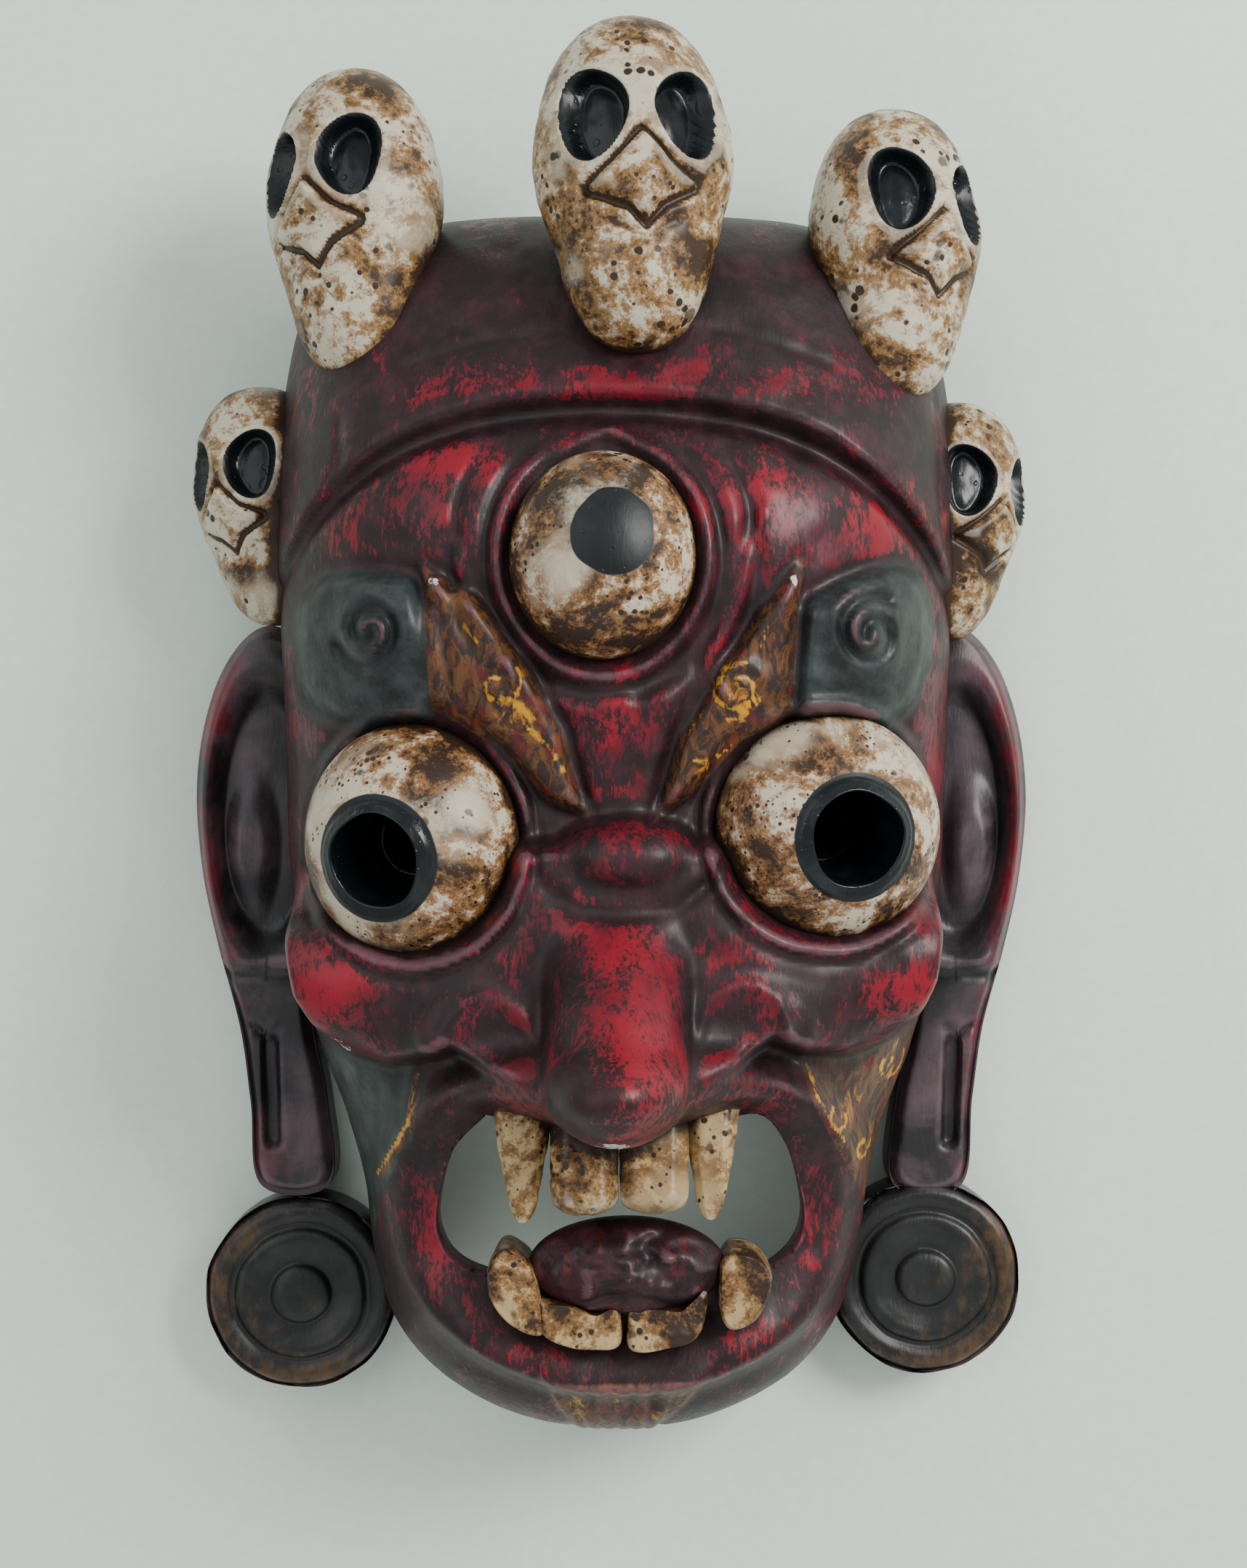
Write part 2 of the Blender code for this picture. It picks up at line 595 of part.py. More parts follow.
# Teeth and tongue
for label, shape in UPPER_TEETH.items():
    tooth(label, *shape)
for label, outline in LOWER_TEETH.items():
    tile(label, outline)
add(ball("tongue", (*TONGUE[:2], TONGUE_HEIGHT), (*TONGUE[2:], TONGUE_THICKNESS / U)), "UNION")

# Pupils: a raised ring round a hole through the eye, both square to the turned eyeball
front, back = EYE_BORE / 2.0 / U, EYE_BORE_BACK / 2.0 / U
iris = ((0.0, front + IRIS_RING_WIDTH / U), (IRIS_RING_TOP / U, front + IRIS_RING_WIDTH / U))
bore = ((BORE_END, back), (BORE_BACK, back), (BORE_TOP, front), (CLEAR_TOP, front))
PUPILS = {"left_pupil": (LEFT_EYE, IRIS_TURNS[0]), "right_pupil": (RIGHT_EYE, IRIS_TURNS[1])}
for label, (form, turns) in PUPILS.items():
    seat = (*form[:2], EYE_CENTRE_HEIGHT)
    add(post(f"{label}_ring", seat, iris, turns), "UNION")
    add(post(f"{label}_bore", seat, bore, turns), "DIFFERENCE")
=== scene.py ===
"""Carved and painted dance mask of a wrathful three-eyed deity, lying on its flat back.

Metres, +Z up, crown to +Y. Plans are drawn in the carver's units, one thousandth of a metre,
and PLAN_SHIFT moves them into the frame's place. The face is a skin of carved heights over a plain head.
"""
import math

import bmesh
import bpy
import numpy as np
from mathutils import Euler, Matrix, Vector


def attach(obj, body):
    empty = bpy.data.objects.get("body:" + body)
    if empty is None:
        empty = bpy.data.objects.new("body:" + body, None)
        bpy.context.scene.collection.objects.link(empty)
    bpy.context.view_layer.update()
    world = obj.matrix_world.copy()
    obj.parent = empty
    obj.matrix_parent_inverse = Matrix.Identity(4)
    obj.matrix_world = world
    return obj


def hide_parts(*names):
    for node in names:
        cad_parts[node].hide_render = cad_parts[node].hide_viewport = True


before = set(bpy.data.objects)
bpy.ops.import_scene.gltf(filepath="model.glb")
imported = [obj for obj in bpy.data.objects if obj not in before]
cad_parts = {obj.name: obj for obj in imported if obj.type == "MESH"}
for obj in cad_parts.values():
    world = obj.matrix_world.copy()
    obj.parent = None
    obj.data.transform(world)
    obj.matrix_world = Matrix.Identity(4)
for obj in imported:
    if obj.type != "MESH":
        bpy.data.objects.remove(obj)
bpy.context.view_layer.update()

UNIT = 0.001
PLAN_SHIFT = np.array([0.0, 3.5, 0.0])

# Head
HEAD_STATIONS = (
    (163, 0, 60), (163, 36, 66), (160, 54, 76), (153, 68, 89), (138, 82, 101), (112, 94, 107),
    (80, 108, 109), (50, 115, 109), (20, 112, 108), (-10, 106, 107), (-40, 104, 106), (-75, 104, 103),
    (-98, 100, 96), (-120, 96, 88), (-142, 93, 82), (-165, 90, 79), (-185, 86, 73), (-200, 80, 61),
    (-211, 68, 42), (-216, 48, 27), (-217, 20, 20), (-217, 0, 14),
)
HEAD_HALF_HEIGHT = 213.5
HEAD_ROWS, HEAD_COLUMNS = ((350, 270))
HOLLOW_ROWS, HOLLOW_COLUMNS = 60, 44
SECTION_POWER = 2.7
HEAD_LEAN = 1.5
WALL = 9.0
BELOW = 10.0
CARVING_FADE = (4.0, 40.0)
# How far the hidden side of a piece lies under the skin
BEDDING, EYE_BEDDING = 5.0, 6.0

# Eyes: centre x, centre y, half-width, half-height
LEFT_EYE = (-58, -32, 33, 35)
RIGHT_EYE = (64, -28, 34.5, 34)
EYE_CENTRE_HEIGHT = 93
EYE_DEPTH = 27
EYE_TURN = 19
# Depth of the seat cut for an eye; it fades out at the sides of the face
EYE_SEAT = 12.0
# How far the eye's skin reaches round from the iris axis in degrees, and its points a ring
EYE_WRAP = 112
EYE_SIDES, EYE_RINGS = 120, 46
# Mean distance from the eye's centre to the iris edge
EYE_REACH = 30.0
# The pupil's rim over the level of the iris edge
PUPIL_RISE = 1.6
LEFT_IRIS_TURN = (12, -22, 0)
RIGHT_IRIS_TURN = (7, 16, 0)
PUPIL_RADIUS = 13.5
IRIS_RADIUS = 18.0
# The black paint runs over the iris edge by a line's width; behind the ball it covers the bore
IRIS_LINE, BORE_MOST = 0.6, 16.0
# The iris from its edge to the pupil: share of the way and rise
IRIS_PROFILE = ((0.15, 0.5), (0.35, 0.6), (0.6, 0.6), (0.78, 0.8), (0.88, 0.8), (0.95, 0.4), (1.0, -0.4))
# The bore behind the pupil narrows towards the hollow: height over the eye's centre, and radius
BORE_TOP, BORE_BACK, BORE_BACK_RADIUS = 22.0, -8.0, 10.0
BORE_BOTTOM = -52.0
BORE_SLACK = 0.4
BORE_ENDS = (-60.0, 90.0)
BORE_LEVELS = (
    (BORE_ENDS[0], BORE_BACK_RADIUS + BORE_SLACK), (BORE_BACK, BORE_BACK_RADIUS + BORE_SLACK),
    (BORE_TOP, PUPIL_RADIUS + BORE_SLACK), (BORE_ENDS[1], PUPIL_RADIUS + BORE_SLACK),
)
THIRD_EYE = (-2, 50, 27, 30)
THIRD_EYE_HEIGHT = 112
THIRD_EYE_DEPTH = 24
THIRD_LID = (-2, 50, 32, 36.5)
THIRD_PUPIL = (1, 55, 12.4, 12.4)
LID_HEIGHT = 5.0
# Folds round the third eye's lid: share of its size, width and rise
LID_FOLDS = ((1.07, 0.04, -1.6), (1.20, 0.09, 1.3))

# Brows
BROW_BLOCKS = (
    ((-95, 38), (-86, 46), (-70, 46), (-54, 40), (-49, 8), (-66, 2), (-84, 4), (-95, 14)),
    ((55, 36), (70, 44), (88, 49), (97, 38), (95, 16), (83, 2), (66, 1), (53, 5)),
)
INNER_BROWS = (
    ((-54, 47), (-38, 37), (-25, 21), (-14, 0), (-6, -25), (-17, -21), (-32, -4), (-51, 6)),
    ((55, 48), (43, 33), (30, 14), (20, -4), (13, -26), (23, -19), (37, -3), (53, 5)),
)
BROW_HEIGHT = 8.0
BROW_CURLS = ((-70, 29, 10.5, 1, 200), (76, 28, 11.0, 1, 60))
INNER_CURLS = ((-32, 13, 7.2, -1, 40), (37, 12, 7.6, 1, 180))

# Middle of the face
MID_FACE = (
    (-97, -40), (-99, -62), (-96, -79), (-89, -90), (-78, -97), (-65, -99), (-55, -96), (-45, -93),
    (-31, -100), (-22, -105), (-17, -113), (-8, -117), (10, -117), (19, -112), (24, -105), (35, -98),
    (47, -90), (57, -94), (70, -96), (84, -93), (94, -86), (99, -74), (101, -60), (99, -36), (0, -30),
)
MID_FACE_STEP = 13.0
# Mounds: centre x, centre y, half-width, half-height, foot, rise, turn in degrees, blend
CHEEKS = ((-70, -74, 35, 21, 84, 20, -12, 8), (74, -70, 35, 21, 84, 20, 12, 8))
NOSTRILS = ((-30, -93, 27, 18, 107, 10, -20, 10), (34, -90, 27, 18, 107, 10, 20, 10))
NOSE_BUMP = (5, -36.5, 21.5, 12, 106, 17, 0, 2)
NOSE_X = 2
NOSE_STATIONS = (
    (-44, 110, 22), (-52, 117, 25), (-65, 130, 23), (-80, 143, 21), (-93, 152, 20.5), (-103, 157, 20),
    (-110, 154, 18), (-115, 145, 13), (-118.5, 128, 8),
)
NOSE_DROP = 32.0
# Wings of the nose: a rim over each, the hollow under it and the edge along the bottom
WING_RIMS = (
    ((-51, -93), (-46, -83), (-40, -77.5), (-33, -76.5), (-26, -81), (-20, -92)),
    ((24, -92), (27, -81), (34, -73.5), (41, -72.5), (48, -77), (52, -88)),
)
WING_HOLLOWS = ((-35, -87, 12, 7.5), (37, -84, 12, 7.5))
WING_EDGES = (
    ((-51, -93), (-45, -97), (-31, -102), (-23, -109), (-17, -116)),
    ((52, -88), (47, -93), (36, -101), (27, -106), (22, -114)),
)

# Mouth
LIP_CREST = (4, -142, 71, 51)
LIP_HEIGHT = 14.0
LIP_OUTER, LIP_INNER = 5.0, 20.0
MOUTH_OUTLINE = (
    (-36, -112), (-46, -123), (-51, -138), (-51.5, -150), (-45, -159), (-28, -163), (3, -165), (38, -163),
    (52, -158), (58, -149), (57, -137), (52, -122), (43, -112), (26, -117), (3, -120), (-20, -117),
)
GOATEE = ((-21, -192), (31, -191), (11, -218), (-9, -218))

# Beard panels between the cheeks and the lips
LEFT_BEARD = ((-95, -96), (-56, -100), (-58, -120), (-70, -140), (-78, -170), (-84, -150), (-90, -120))
RIGHT_BEARD = ((56, -97), (98, -88), (92, -115), (80, -146), (70, -128), (60, -110))
# Curls: centre x, centre y, outer radius, sense and the angle where the curl ends
BEARD_CURLS = (
    (-84, -106, 7.5, 1, 90), (86, -101, 6.5, -1, 30), (69, -115, 4.5, 1, 120), (77, -126, 4.0, -1, 0),
)

# Skulls: centre, half-width, half-length, half-depth, turn about X, Y and Z in degrees
SKULLS = {
    "centre_skull": ((7, 160, 96), (30, 50, 26), (-6, 6, 1)),
    "left_crown_skull": ((-78, 155, 68), (29, 48, 25), (-8, -32, 6)),
    "right_crown_skull": ((87, 146, 66), (28, 45, 25), (-8, 33, -4)),
    "left_side_skull": ((-110, 73, 34), (24, 38, 22), (0, -36, 6)),
    "right_side_skull": ((109, 68, 34), (24, 38, 22), (0, 38, -6)),
}
SKULL_SIZE = 29.0
SOCKETS = ((-15.0, 14, 10.8, 13.0), (15.0, 14, 10.4, 12.6))
SOCKET_DEPTH = 8.0

# Ears, drawn for the viewer's right side
EAR_OUTLINE = ((96, 30), (112, 36), (124, 26), (132, 6), (135, -18), (133, -44), (128, -68), (121, -94),
               (117.5, -118), (114, -146), (92, -146), (93, -118), (98, -90), (99, -50), (99, -10))
EAR_HUB = (109, -50)
EAR_RECESS = (112, -26, 17.5, 46)
EAR_LOBE = (117, -36, 8, 22)
EAR_SLIT = ((111, -100), (110, -131))
EAR_HEIGHT, EAR_ROUND = 24.5, 4.5
DISC_CENTRES = {"left_ear_disc": (-101, -181), "right_ear_disc": (102, -176)}
DISC_RADIUS = 31.0
DISC_HEIGHT = 24.0

# Upper teeth: root, tip, root half-width, tip half-width, half-thickness
UPPER_TEETH = {
    "left_fang": ((-25.5, -104, 98), (-25, -142, 110), 9.0, 2.6, 6.5),
    "left_front_tooth": ((-7.5, -104, 98), (-7.2, -139.5, 110), 10.3, 9.3, 7.0),
    "right_front_tooth": ((13, -104, 98), (12.8, -139, 110), 10.3, 9.6, 7.0),
    "right_fang": ((30, -104, 98), (29, -141, 110), 8.4, 2.6, 6.5),
}
# Lower teeth: low tiles with drawn outlines, set on the inner slope of the lip
LOWER_TEETH = {
    "left_canine": (
        (-36, -158), (-32, -151), (-27, -152), (-22, -158), (-19, -174), (-22, -177), (-30, -173),
        (-35, -166)),
    "left_lower_tooth": (
        (-21, -166), (-12, -167), (-4, -170), (3, -168.5), (3, -179.5), (-4, -181), (-13, -180), (-20, -176)),
    "right_lower_tooth": (
        (5, -169), (12, -168), (22, -168.5), (28, -163), (28, -171), (25, -178), (17, -180.5), (6, -181)),
    "right_canine": (
        (32, -156), (36, -151.5), (43, -153), (47.5, -159), (46, -167), (42, -173), (35, -175), (32, -168)),
}
TILE_BOTTOM, TILE_TOP, TILE_ROUND = 82.0, 102.5, 4.0
TILE_SIDES = 64
TONGUE = (5, -157, 29, 14.5)
TONGUE_HEIGHT = 95
TONGUE_THICKNESS = 13


# Shaping
def smooth(low, high, value):
    """Runs from 0 at low to 1 at high with soft ends."""
    t = np.clip((value - low) / (high - low), 0.0, 1.0)
    return t * t * (3.0 - 2.0 * t)


def hump(value, middle, width):
    """1 at the middle and nearly 0 a width or two away."""
    return np.exp(-(((value - middle) / width) ** 2))


def oval(x, y, form):
    """Distance from an oval's middle, 1 on its edge."""
    cx, cy, rx, ry = form
    return np.sqrt(((x - cx) / rx) ** 2 + ((y - cy) / ry) ** 2)


def run_through(stations, count):
    """Even steps along a smooth curve through the stations."""
    points = np.array(stations, dtype=float)
    points = np.vstack([2 * points[0] - points[1], points, 2 * points[-1] - points[-2]])
    fine = []
    for i in range(1, len(points) - 2):
        a, b, c, d = points[i - 1:i + 3]
        for t in np.linspace(0.0, 1.0, 12, endpoint=False):
            fine.append(0.5 * (2 * b + (c - a) * t + (2 * a - 5 * b + 4 * c - d) * t**2
                               + (3 * b - a - 3 * c + d) * t**3))
    fine.append(points[-2])
    fine = np.array(fine)
    along = np.concatenate([[0.0], np.cumsum(np.linalg.norm(np.diff(fine[:, :2], axis=0), axis=1))])
    wanted = np.linspace(0.0, along[-1], count)
    return np.stack([np.interp(wanted, along, fine[:, k]) for k in range(points.shape[1])], axis=1)


def path_distance(x, y, path, closed=False):
    """Distance to a path drawn through points."""
    best = np.full(np.shape(x), 1e9)
    ends = path[1:] + (path[:1] if closed else ())
    for (ax, ay), (bx, by) in zip(path, ends):
        ex, ey = bx - ax, by - ay
        t = np.clip(((x - ax) * ex + (y - ay) * ey) / (ex * ex + ey * ey), 0.0, 1.0)
        best = np.minimum(best, np.hypot(x - ax - ex * t, y - ay - ey * t))
    return best


def inside_outline(x, y, outline):
    """Distance inside a closed outline, negative outside."""
    inside = np.zeros(np.shape(x), dtype=bool)
    for (ax, ay), (bx, by) in zip(outline, outline[1:] + outline[:1]):
        inside ^= ((ay > y) != (by > y)) & (x < (bx - ax) * (y - ay) / (by - ay + 1e-12) + ax)
    best = path_distance(x, y, outline, closed=True)
    return np.where(inside, best, -best)


def rounded(outline, count=48):
    """A smooth closed outline through corner points."""
    return tuple(map(tuple, run_through(tuple(outline) + tuple(outline[:1]), count + 1)[:-1, :2]))


def curl(form, turns=1.6, count=26):
    """The path of a curl: centre, outer radius, sense and the angle where it ends."""
    cx, cy, radius, sense, start = form
    steps = np.linspace(0.0, 1.0, count)
    turn = math.radians(start) + sense * math.tau * turns * steps
    reach = radius * (1.0 - 0.78 * steps)
    return tuple(zip(cx + reach * np.cos(turn), cy + reach * np.sin(turn)))


def soft_max(a, b, blend):
    """The larger of two heights, rounded over where they meet."""
    share = np.clip(0.5 + 0.5 * (b - a) / blend, 0.0, 1.0)
    return a * (1.0 - share) + b * share + blend * share * (1.0 - share)


def mound(x, y, form):
    """Heights of a turned oval mound, falling away outside its edge."""
    cx, cy, rx, ry, foot, rise, turn = form
    c, s = math.cos(math.radians(turn)), math.sin(math.radians(turn))
    u, v = x - cx, y - cy
    r = np.hypot((u * c + v * s) / rx, (v * c - u * s) / ry)
    return foot + rise * np.where(r < 1.0, np.sqrt(np.clip(1.0 - r * r, 0.0, 1.0)), 3.0 * (1.0 - r))


KNIFE = np.random.default_rng(7).random((24, 24, 24))


def hand(points, size):
    """Unevenness of hand carving at points, from -1 to 1, over patches of a size."""
    place = points / size
    low = np.floor(place).astype(int)
    part = place - low
    part = part * part * (3.0 - 2.0 * part)
    total = np.zeros(len(points))
    for corner in range(8):
        step = np.array([corner & 1, (corner >> 1) & 1, (corner >> 2) & 1])
        cell = (low + step) % 24
        weight = np.prod(np.where(step == 1, part, 1.0 - part), axis=1)
        total += weight * KNIFE[cell[:, 0], cell[:, 1], cell[:, 2]]
    return 2.0 * total - 1.0


BAND_TOP = 94.3


def band_edge(x):
    """The crown band's lower edge, an arch over the forehead."""
    return BAND_TOP - 0.0022 * x**2 - 2.2e-7 * x**4


def plain_height(x, y, inset=0.0):
    """Height of the plain head over the plan, before carving."""
    stations = np.array(HEAD_STATIONS[::-1], dtype=float)
    stations = stations[1:-1]
    half = np.interp(y, stations[:, 0], stations[:, 2]) - inset
    depth = np.interp(y, stations[:, 0], stations[:, 1]) - inset
    share = np.clip(np.abs(x - HEAD_LEAN) / np.maximum(half, 1.0), 0.0, 1.0)
    inside = (y < stations[-1, 0] - inset) & (y > stations[0, 0] + inset)
    return np.where(inside, depth * (1.0 - share**SECTION_POWER) ** (1.0 / SECTION_POWER), -50.0)


# Relief
BAND_HEIGHT = 5.0
CROWN_LINES = (
    ((35, 138), (54, 133)), ((26, 119), (46, 115), (66, 108.5)), ((-61, 108), (-38, 114), (-14, 117)),
    ((97, 122), (101, 96), (101, 70)), ((-97, 118), (-100, 92), (-99, 66)),
)
FACE_GROOVES = (
    # path, half-width, depth
    (((-81, 92), (-80, 80), (-83, 72)), 1.6, 1.4),
    (((-22, 12), (-15, -3), (-8, -19)), 1.4, 1.6),
    (((26, 18), (19, 0), (14, -19)), 1.4, 1.6),
    (((-44, 58), (-35, 30), (-21, 13), (-6, 8)), 2.2, 2.0),
    (((40, 60), (34, 36), (24, 18), (8, 9)), 2.2, 2.0),
    (((-28, 66), (-14, 83), (0, 90)), 1.3, 1.6),
    (((-19, -46), (-10, -52), (5, -53), (20, -51), (28, -44)), 1.8, 2.0),
    (((-24, -30), (-21, -42), (-12, -48)), 1.3, 1.2),
    (((34, -30), (31, -42), (24, -48)), 1.3, 1.2),
    (((-94, -84), (-84, -92), (-70, -96)), 1.2, 1.4),
    (((72, -93), (86, -90), (96, -80)), 1.2, 1.4),
    (((-86, -140), (-84, -165), (-74, -186), (-56, -203)), 2.0, 2.2),
    (((93, -130), (92, -160), (82, -186), (64, -203)), 2.0, 2.2),
    (((-23, -188), (-14, -200), (-10, -216)), 1.4, 1.6),
    (((33, -187), (22, -199), (13, -216)), 1.4, 1.6),
)
FACE_RIDGES = (
    (((-46, 60), (-40, 40), (-28, 22), (-14, -4)), 2.4, 1.4),
    (((44, 62), (38, 40), (30, 22), (20, 0)), 2.4, 1.4),
    (((30, -46), (40, -58), (54, -63), (72, -65), (88, -55)), 1.6, 1.8),
    (((-27, -52), (-38, -63), (-56, -68), (-74, -62)), 1.6, 1.6),
    (((-58, -99), (-62, -115), (-72, -134)), 1.5, 1.4),
    (((56, -98), (64, -112), (78, -138)), 1.5, 1.4),
)
GOATEE_LINES = tuple(((x, -194), (x * 0.55 + 2, -216)) for x in (-14, -7, 0, 7, 14, 21))


def carve_brow(x, y, z):
    """Crown band, forehead, third eye's lid, brows and the root of the nose."""
    over = y - band_edge(x)
    z = z + BAND_HEIGHT * smooth(0.0, 6.0, over)
    deep = 3.6 + 2.2 * smooth(-10, 60, x)
    z = z - deep * hump(over, -1.5, 2.8 + 1.3 * smooth(0, 70, x))
    for side in (-1, 1):
        z = z + 4.0 * hump(x, side * 48, 24) * hump(y, 66, 16)
    peaked = y - 0.12 * np.maximum(y - 68, 0.0) * hump(x, -1.0, 6.0)
    lid = oval(x, peaked, THIRD_LID)
    below = smooth(86, 70, y)
    z = z + 0.8 * LID_HEIGHT * hump(lid, 0.95, 0.07)
    for around, width, rise in LID_FOLDS:
        z = z + rise * hump(lid, around, width) * below
    z = z - 2.2 * hump(lid, 1.38, 0.06) * smooth(24, 50, y + 0.4 * np.abs(x)) * below
    z = z - 8.0 * smooth(0.98, 0.84, oval(x, y, THIRD_EYE))
    for block, inner in zip(BROW_BLOCKS, INNER_BROWS):
        edge = inside_outline(x, y, rounded(block))
        z = z + BROW_HEIGHT * smooth(-1.5, 5.0, edge) - 1.4 * hump(edge, -2.2, 1.6)
        edge = inside_outline(x, y, inner)
        z = z + 0.75 * BROW_HEIGHT * smooth(-1.0, 3.0, edge) - 1.0 * hump(edge, -1.8, 1.3)
    for form in BROW_CURLS:
        reach = np.hypot(x - form[0], y - form[1])
        z = z + 5.5 * smooth(form[2] + 6.0, form[2] * 0.4, reach)
        z = z - 4.6 * hump(path_distance(x, y, curl(form, 1.35)), 0.0, 1.5)
    for form in INNER_CURLS:
        reach = np.hypot(x - form[0], y - form[1])
        z = z + 3.0 * smooth(form[2] + 3.5, form[2] * 0.6, reach)
        z = z - 3.0 * hump(path_distance(x, y, curl(form, 1.3)), 0.0, 1.3)
    wedge = 10.5 + 0.34 * np.maximum(y + 18, 0.0)
    root = np.exp(-(((x - 3.0) / wedge) ** 6)) * smooth(-34, -22, y) * smooth(22, 6, y)
    return z + 4.5 * root


def carve_middle(x, y, z):
    """The raised middle of the face with cheeks, nostrils and nose."""
    edge = inside_outline(x, y, MID_FACE)
    z = z + MID_FACE_STEP * smooth(-1.5, 4.0, edge)
    full = z
    for *form, blend in CHEEKS + NOSTRILS:
        full = soft_max(full, mound(x, y, form), blend)
    z = z + (full - z) * smooth(-1.5, 3.5, edge)
    *form, blend = NOSE_BUMP
    z = soft_max(z, mound(x, y, form), blend)
    for rim, hollow, edge in zip(WING_RIMS, WING_HOLLOWS, WING_EDGES):
        z = z - 3.0 * hump(oval(x, y, hollow), 0.0, 0.9)
        z = z + 1.5 * hump(path_distance(x, y, rim), 0.0, 1.7)
        z = z + 1.4 * hump(path_distance(x, y, edge), 0.0, 2.2)
    stations = run_through(NOSE_STATIONS, 60)[::-1]
    ridge = np.interp(y, stations[:, 0], stations[:, 1])
    share = np.abs(x - NOSE_X) / np.interp(y, stations[:, 0], stations[:, 2])
    flank = np.where(share < 1, 1 - np.sqrt(np.clip(1 - share**2, 0, 1)), 1 + 0.8 * (share - 1))
    on_nose = (y < NOSE_STATIONS[0][0]) & (y > NOSE_STATIONS[-1][0])
    return soft_max(z, np.where(on_nose, ridge - NOSE_DROP * flank, 0.0), 9.0)


def carve(x, y, z):
    """Heights of the carved face over the plain head."""
    z = carve_middle(x, y, carve_brow(x, y, z))
    for eye in (LEFT_EYE, RIGHT_EYE):
        around = oval(x, y, eye)
        z = z + 0.5 * LID_HEIGHT * hump(around, 1.05, 0.04) - 1.4 * hump(around, 1.14, 0.035)
        z = z - EYE_SEAT * smooth(0.99, 0.84, around) * smooth(90.0, 76.0, np.abs(x - HEAD_LEAN))
    ring = (oval(x, y, LIP_CREST) - 1.0) * (LIP_CREST[2] + LIP_CREST[3]) / 2.0
    lip = np.where(ring > 0, hump(ring, 0.0, LIP_OUTER), np.clip(1.0 + ring / LIP_INNER, 0.0, 1.0))
    lip = lip - 0.10 * hump(ring, 0.0, 2.5)
    z = z + LIP_HEIGHT * lip * smooth(-84, -106, y)
    z = z + 3.0 * smooth(-1.0, 2.0, inside_outline(x, y, GOATEE))
    for line in GOATEE_LINES:
        z = z - 1.2 * hump(path_distance(x, y, line), 0.0, 1.0)
    for form in BEARD_CURLS:
        z = z + 2.0 * smooth(form[2] + 2.5, form[2] * 0.6, np.hypot(x - form[0], y - form[1]))
        z = z - 1.5 * hump(path_distance(x, y, curl(form)), 0.0, 1.1)
    for line in CROWN_LINES:
        z = z - 1.3 * hump(path_distance(x, y, line), 0.0, 0.9)
    for path, width, depth in FACE_GROOVES:
        z = z - depth * hump(path_distance(x, y, path), 0.0, width)
    for path, width, height in FACE_RIDGES:
        z = z + height * hump(path_distance(x, y, path), 0.0, width)
    spots = np.column_stack([np.ravel(x), np.ravel(y), np.full(np.size(x), 30.0)])
    return z + (0.7 * hand(spots, 13.0) + 0.3 * hand(spots, 5.0)).reshape(np.shape(x))


def skin_height(x, y):
    """Height of the carved face over the plan."""
    z = plain_height(x, y)
    return np.where(z > 0, z + (carve(x, y, z) - z) * smooth(*CARVING_FADE, z), z)


def section(count):
    """Even steps over the rounded cross-section of the head: side and rise shares."""
    turn = np.linspace(-math.pi / 2, math.pi / 2, 4001)
    side = np.sign(np.sin(turn)) * np.abs(np.sin(turn)) ** (2.0 / SECTION_POWER)
    rise = np.abs(np.cos(turn)) ** (2.0 / SECTION_POWER)
    rise[0] = rise[-1] = 0.0
    weight = 0.35 + 0.65 * smooth(0.45, 0.75, rise[1:])
    along = np.concatenate([[0.0], np.cumsum(weight * np.hypot(np.diff(side), np.diff(rise)))])
    wanted = np.linspace(0.0, along[-1], count)
    return np.interp(wanted, along, side), np.interp(wanted, along, rise)


def soften(grid):
    """Evens a grid of heights out between neighbours, so that slanting lines don't show its steps."""
    grid = np.pad(grid, 1, mode="edge")
    grid = (grid[:-2] + 2.0 * grid[1:-1] + grid[2:]) / 4.0
    return (grid[:, :-2] + 2.0 * grid[:, 1:-1] + grid[:, 2:]) / 4.0


def head_rows(rows, across, inset, carved):
    """The head's skin as rows of points, from the crown over the face to the chin."""
    side, rise = section(across)
    grid = []
    for y, depth, half in run_through(HEAD_STATIONS, rows):
        x = HEAD_LEAN + max(half - inset, 1.0) * side
        z = max(depth - inset, 0.0) * rise
        row_y = np.full(across, y * (HEAD_HALF_HEIGHT - inset) / HEAD_HALF_HEIGHT)
        grid.append(np.stack([x, row_y, z], axis=1))
    grid = np.array(grid)
    if carved:
        x, y, z = grid[..., 0], grid[..., 1], grid[..., 2]
        grid[..., 2] = z + soften((carve(x, y, z) - z) * smooth(*CARVING_FADE, z))
    return grid


# Pieces
def store(mesh, area, values):
    """Stores a paint area's values on a mesh's points."""
    layer = mesh.attributes.new(area, "FLOAT", "POINT")
    layer.data.foreach_set("value", np.ascontiguousarray(values, dtype=np.float32))


def piece(name, verts, faces, areas=None):
    """A piece from points in the carver's units, its faces turned outwards, with its paint areas."""
    mesh = bpy.data.meshes.new(name)
    mesh.from_pydata(((np.asarray(verts, dtype=float) + PLAN_SHIFT) * UNIT).tolist(), [], faces)
    for area, values in (areas or {}).items():
        store(mesh, area, values)
    work = bmesh.new()
    work.from_mesh(mesh)
    bmesh.ops.remove_doubles(work, verts=work.verts, dist=0.00002)
    bmesh.ops.recalc_face_normals(work, faces=work.faces)
    for face in work.faces:
        face.smooth = True
    work.to_mesh(mesh)
    work.free()
    made = bpy.data.objects.new(name, mesh)
    bpy.context.scene.collection.objects.link(made)
    return made


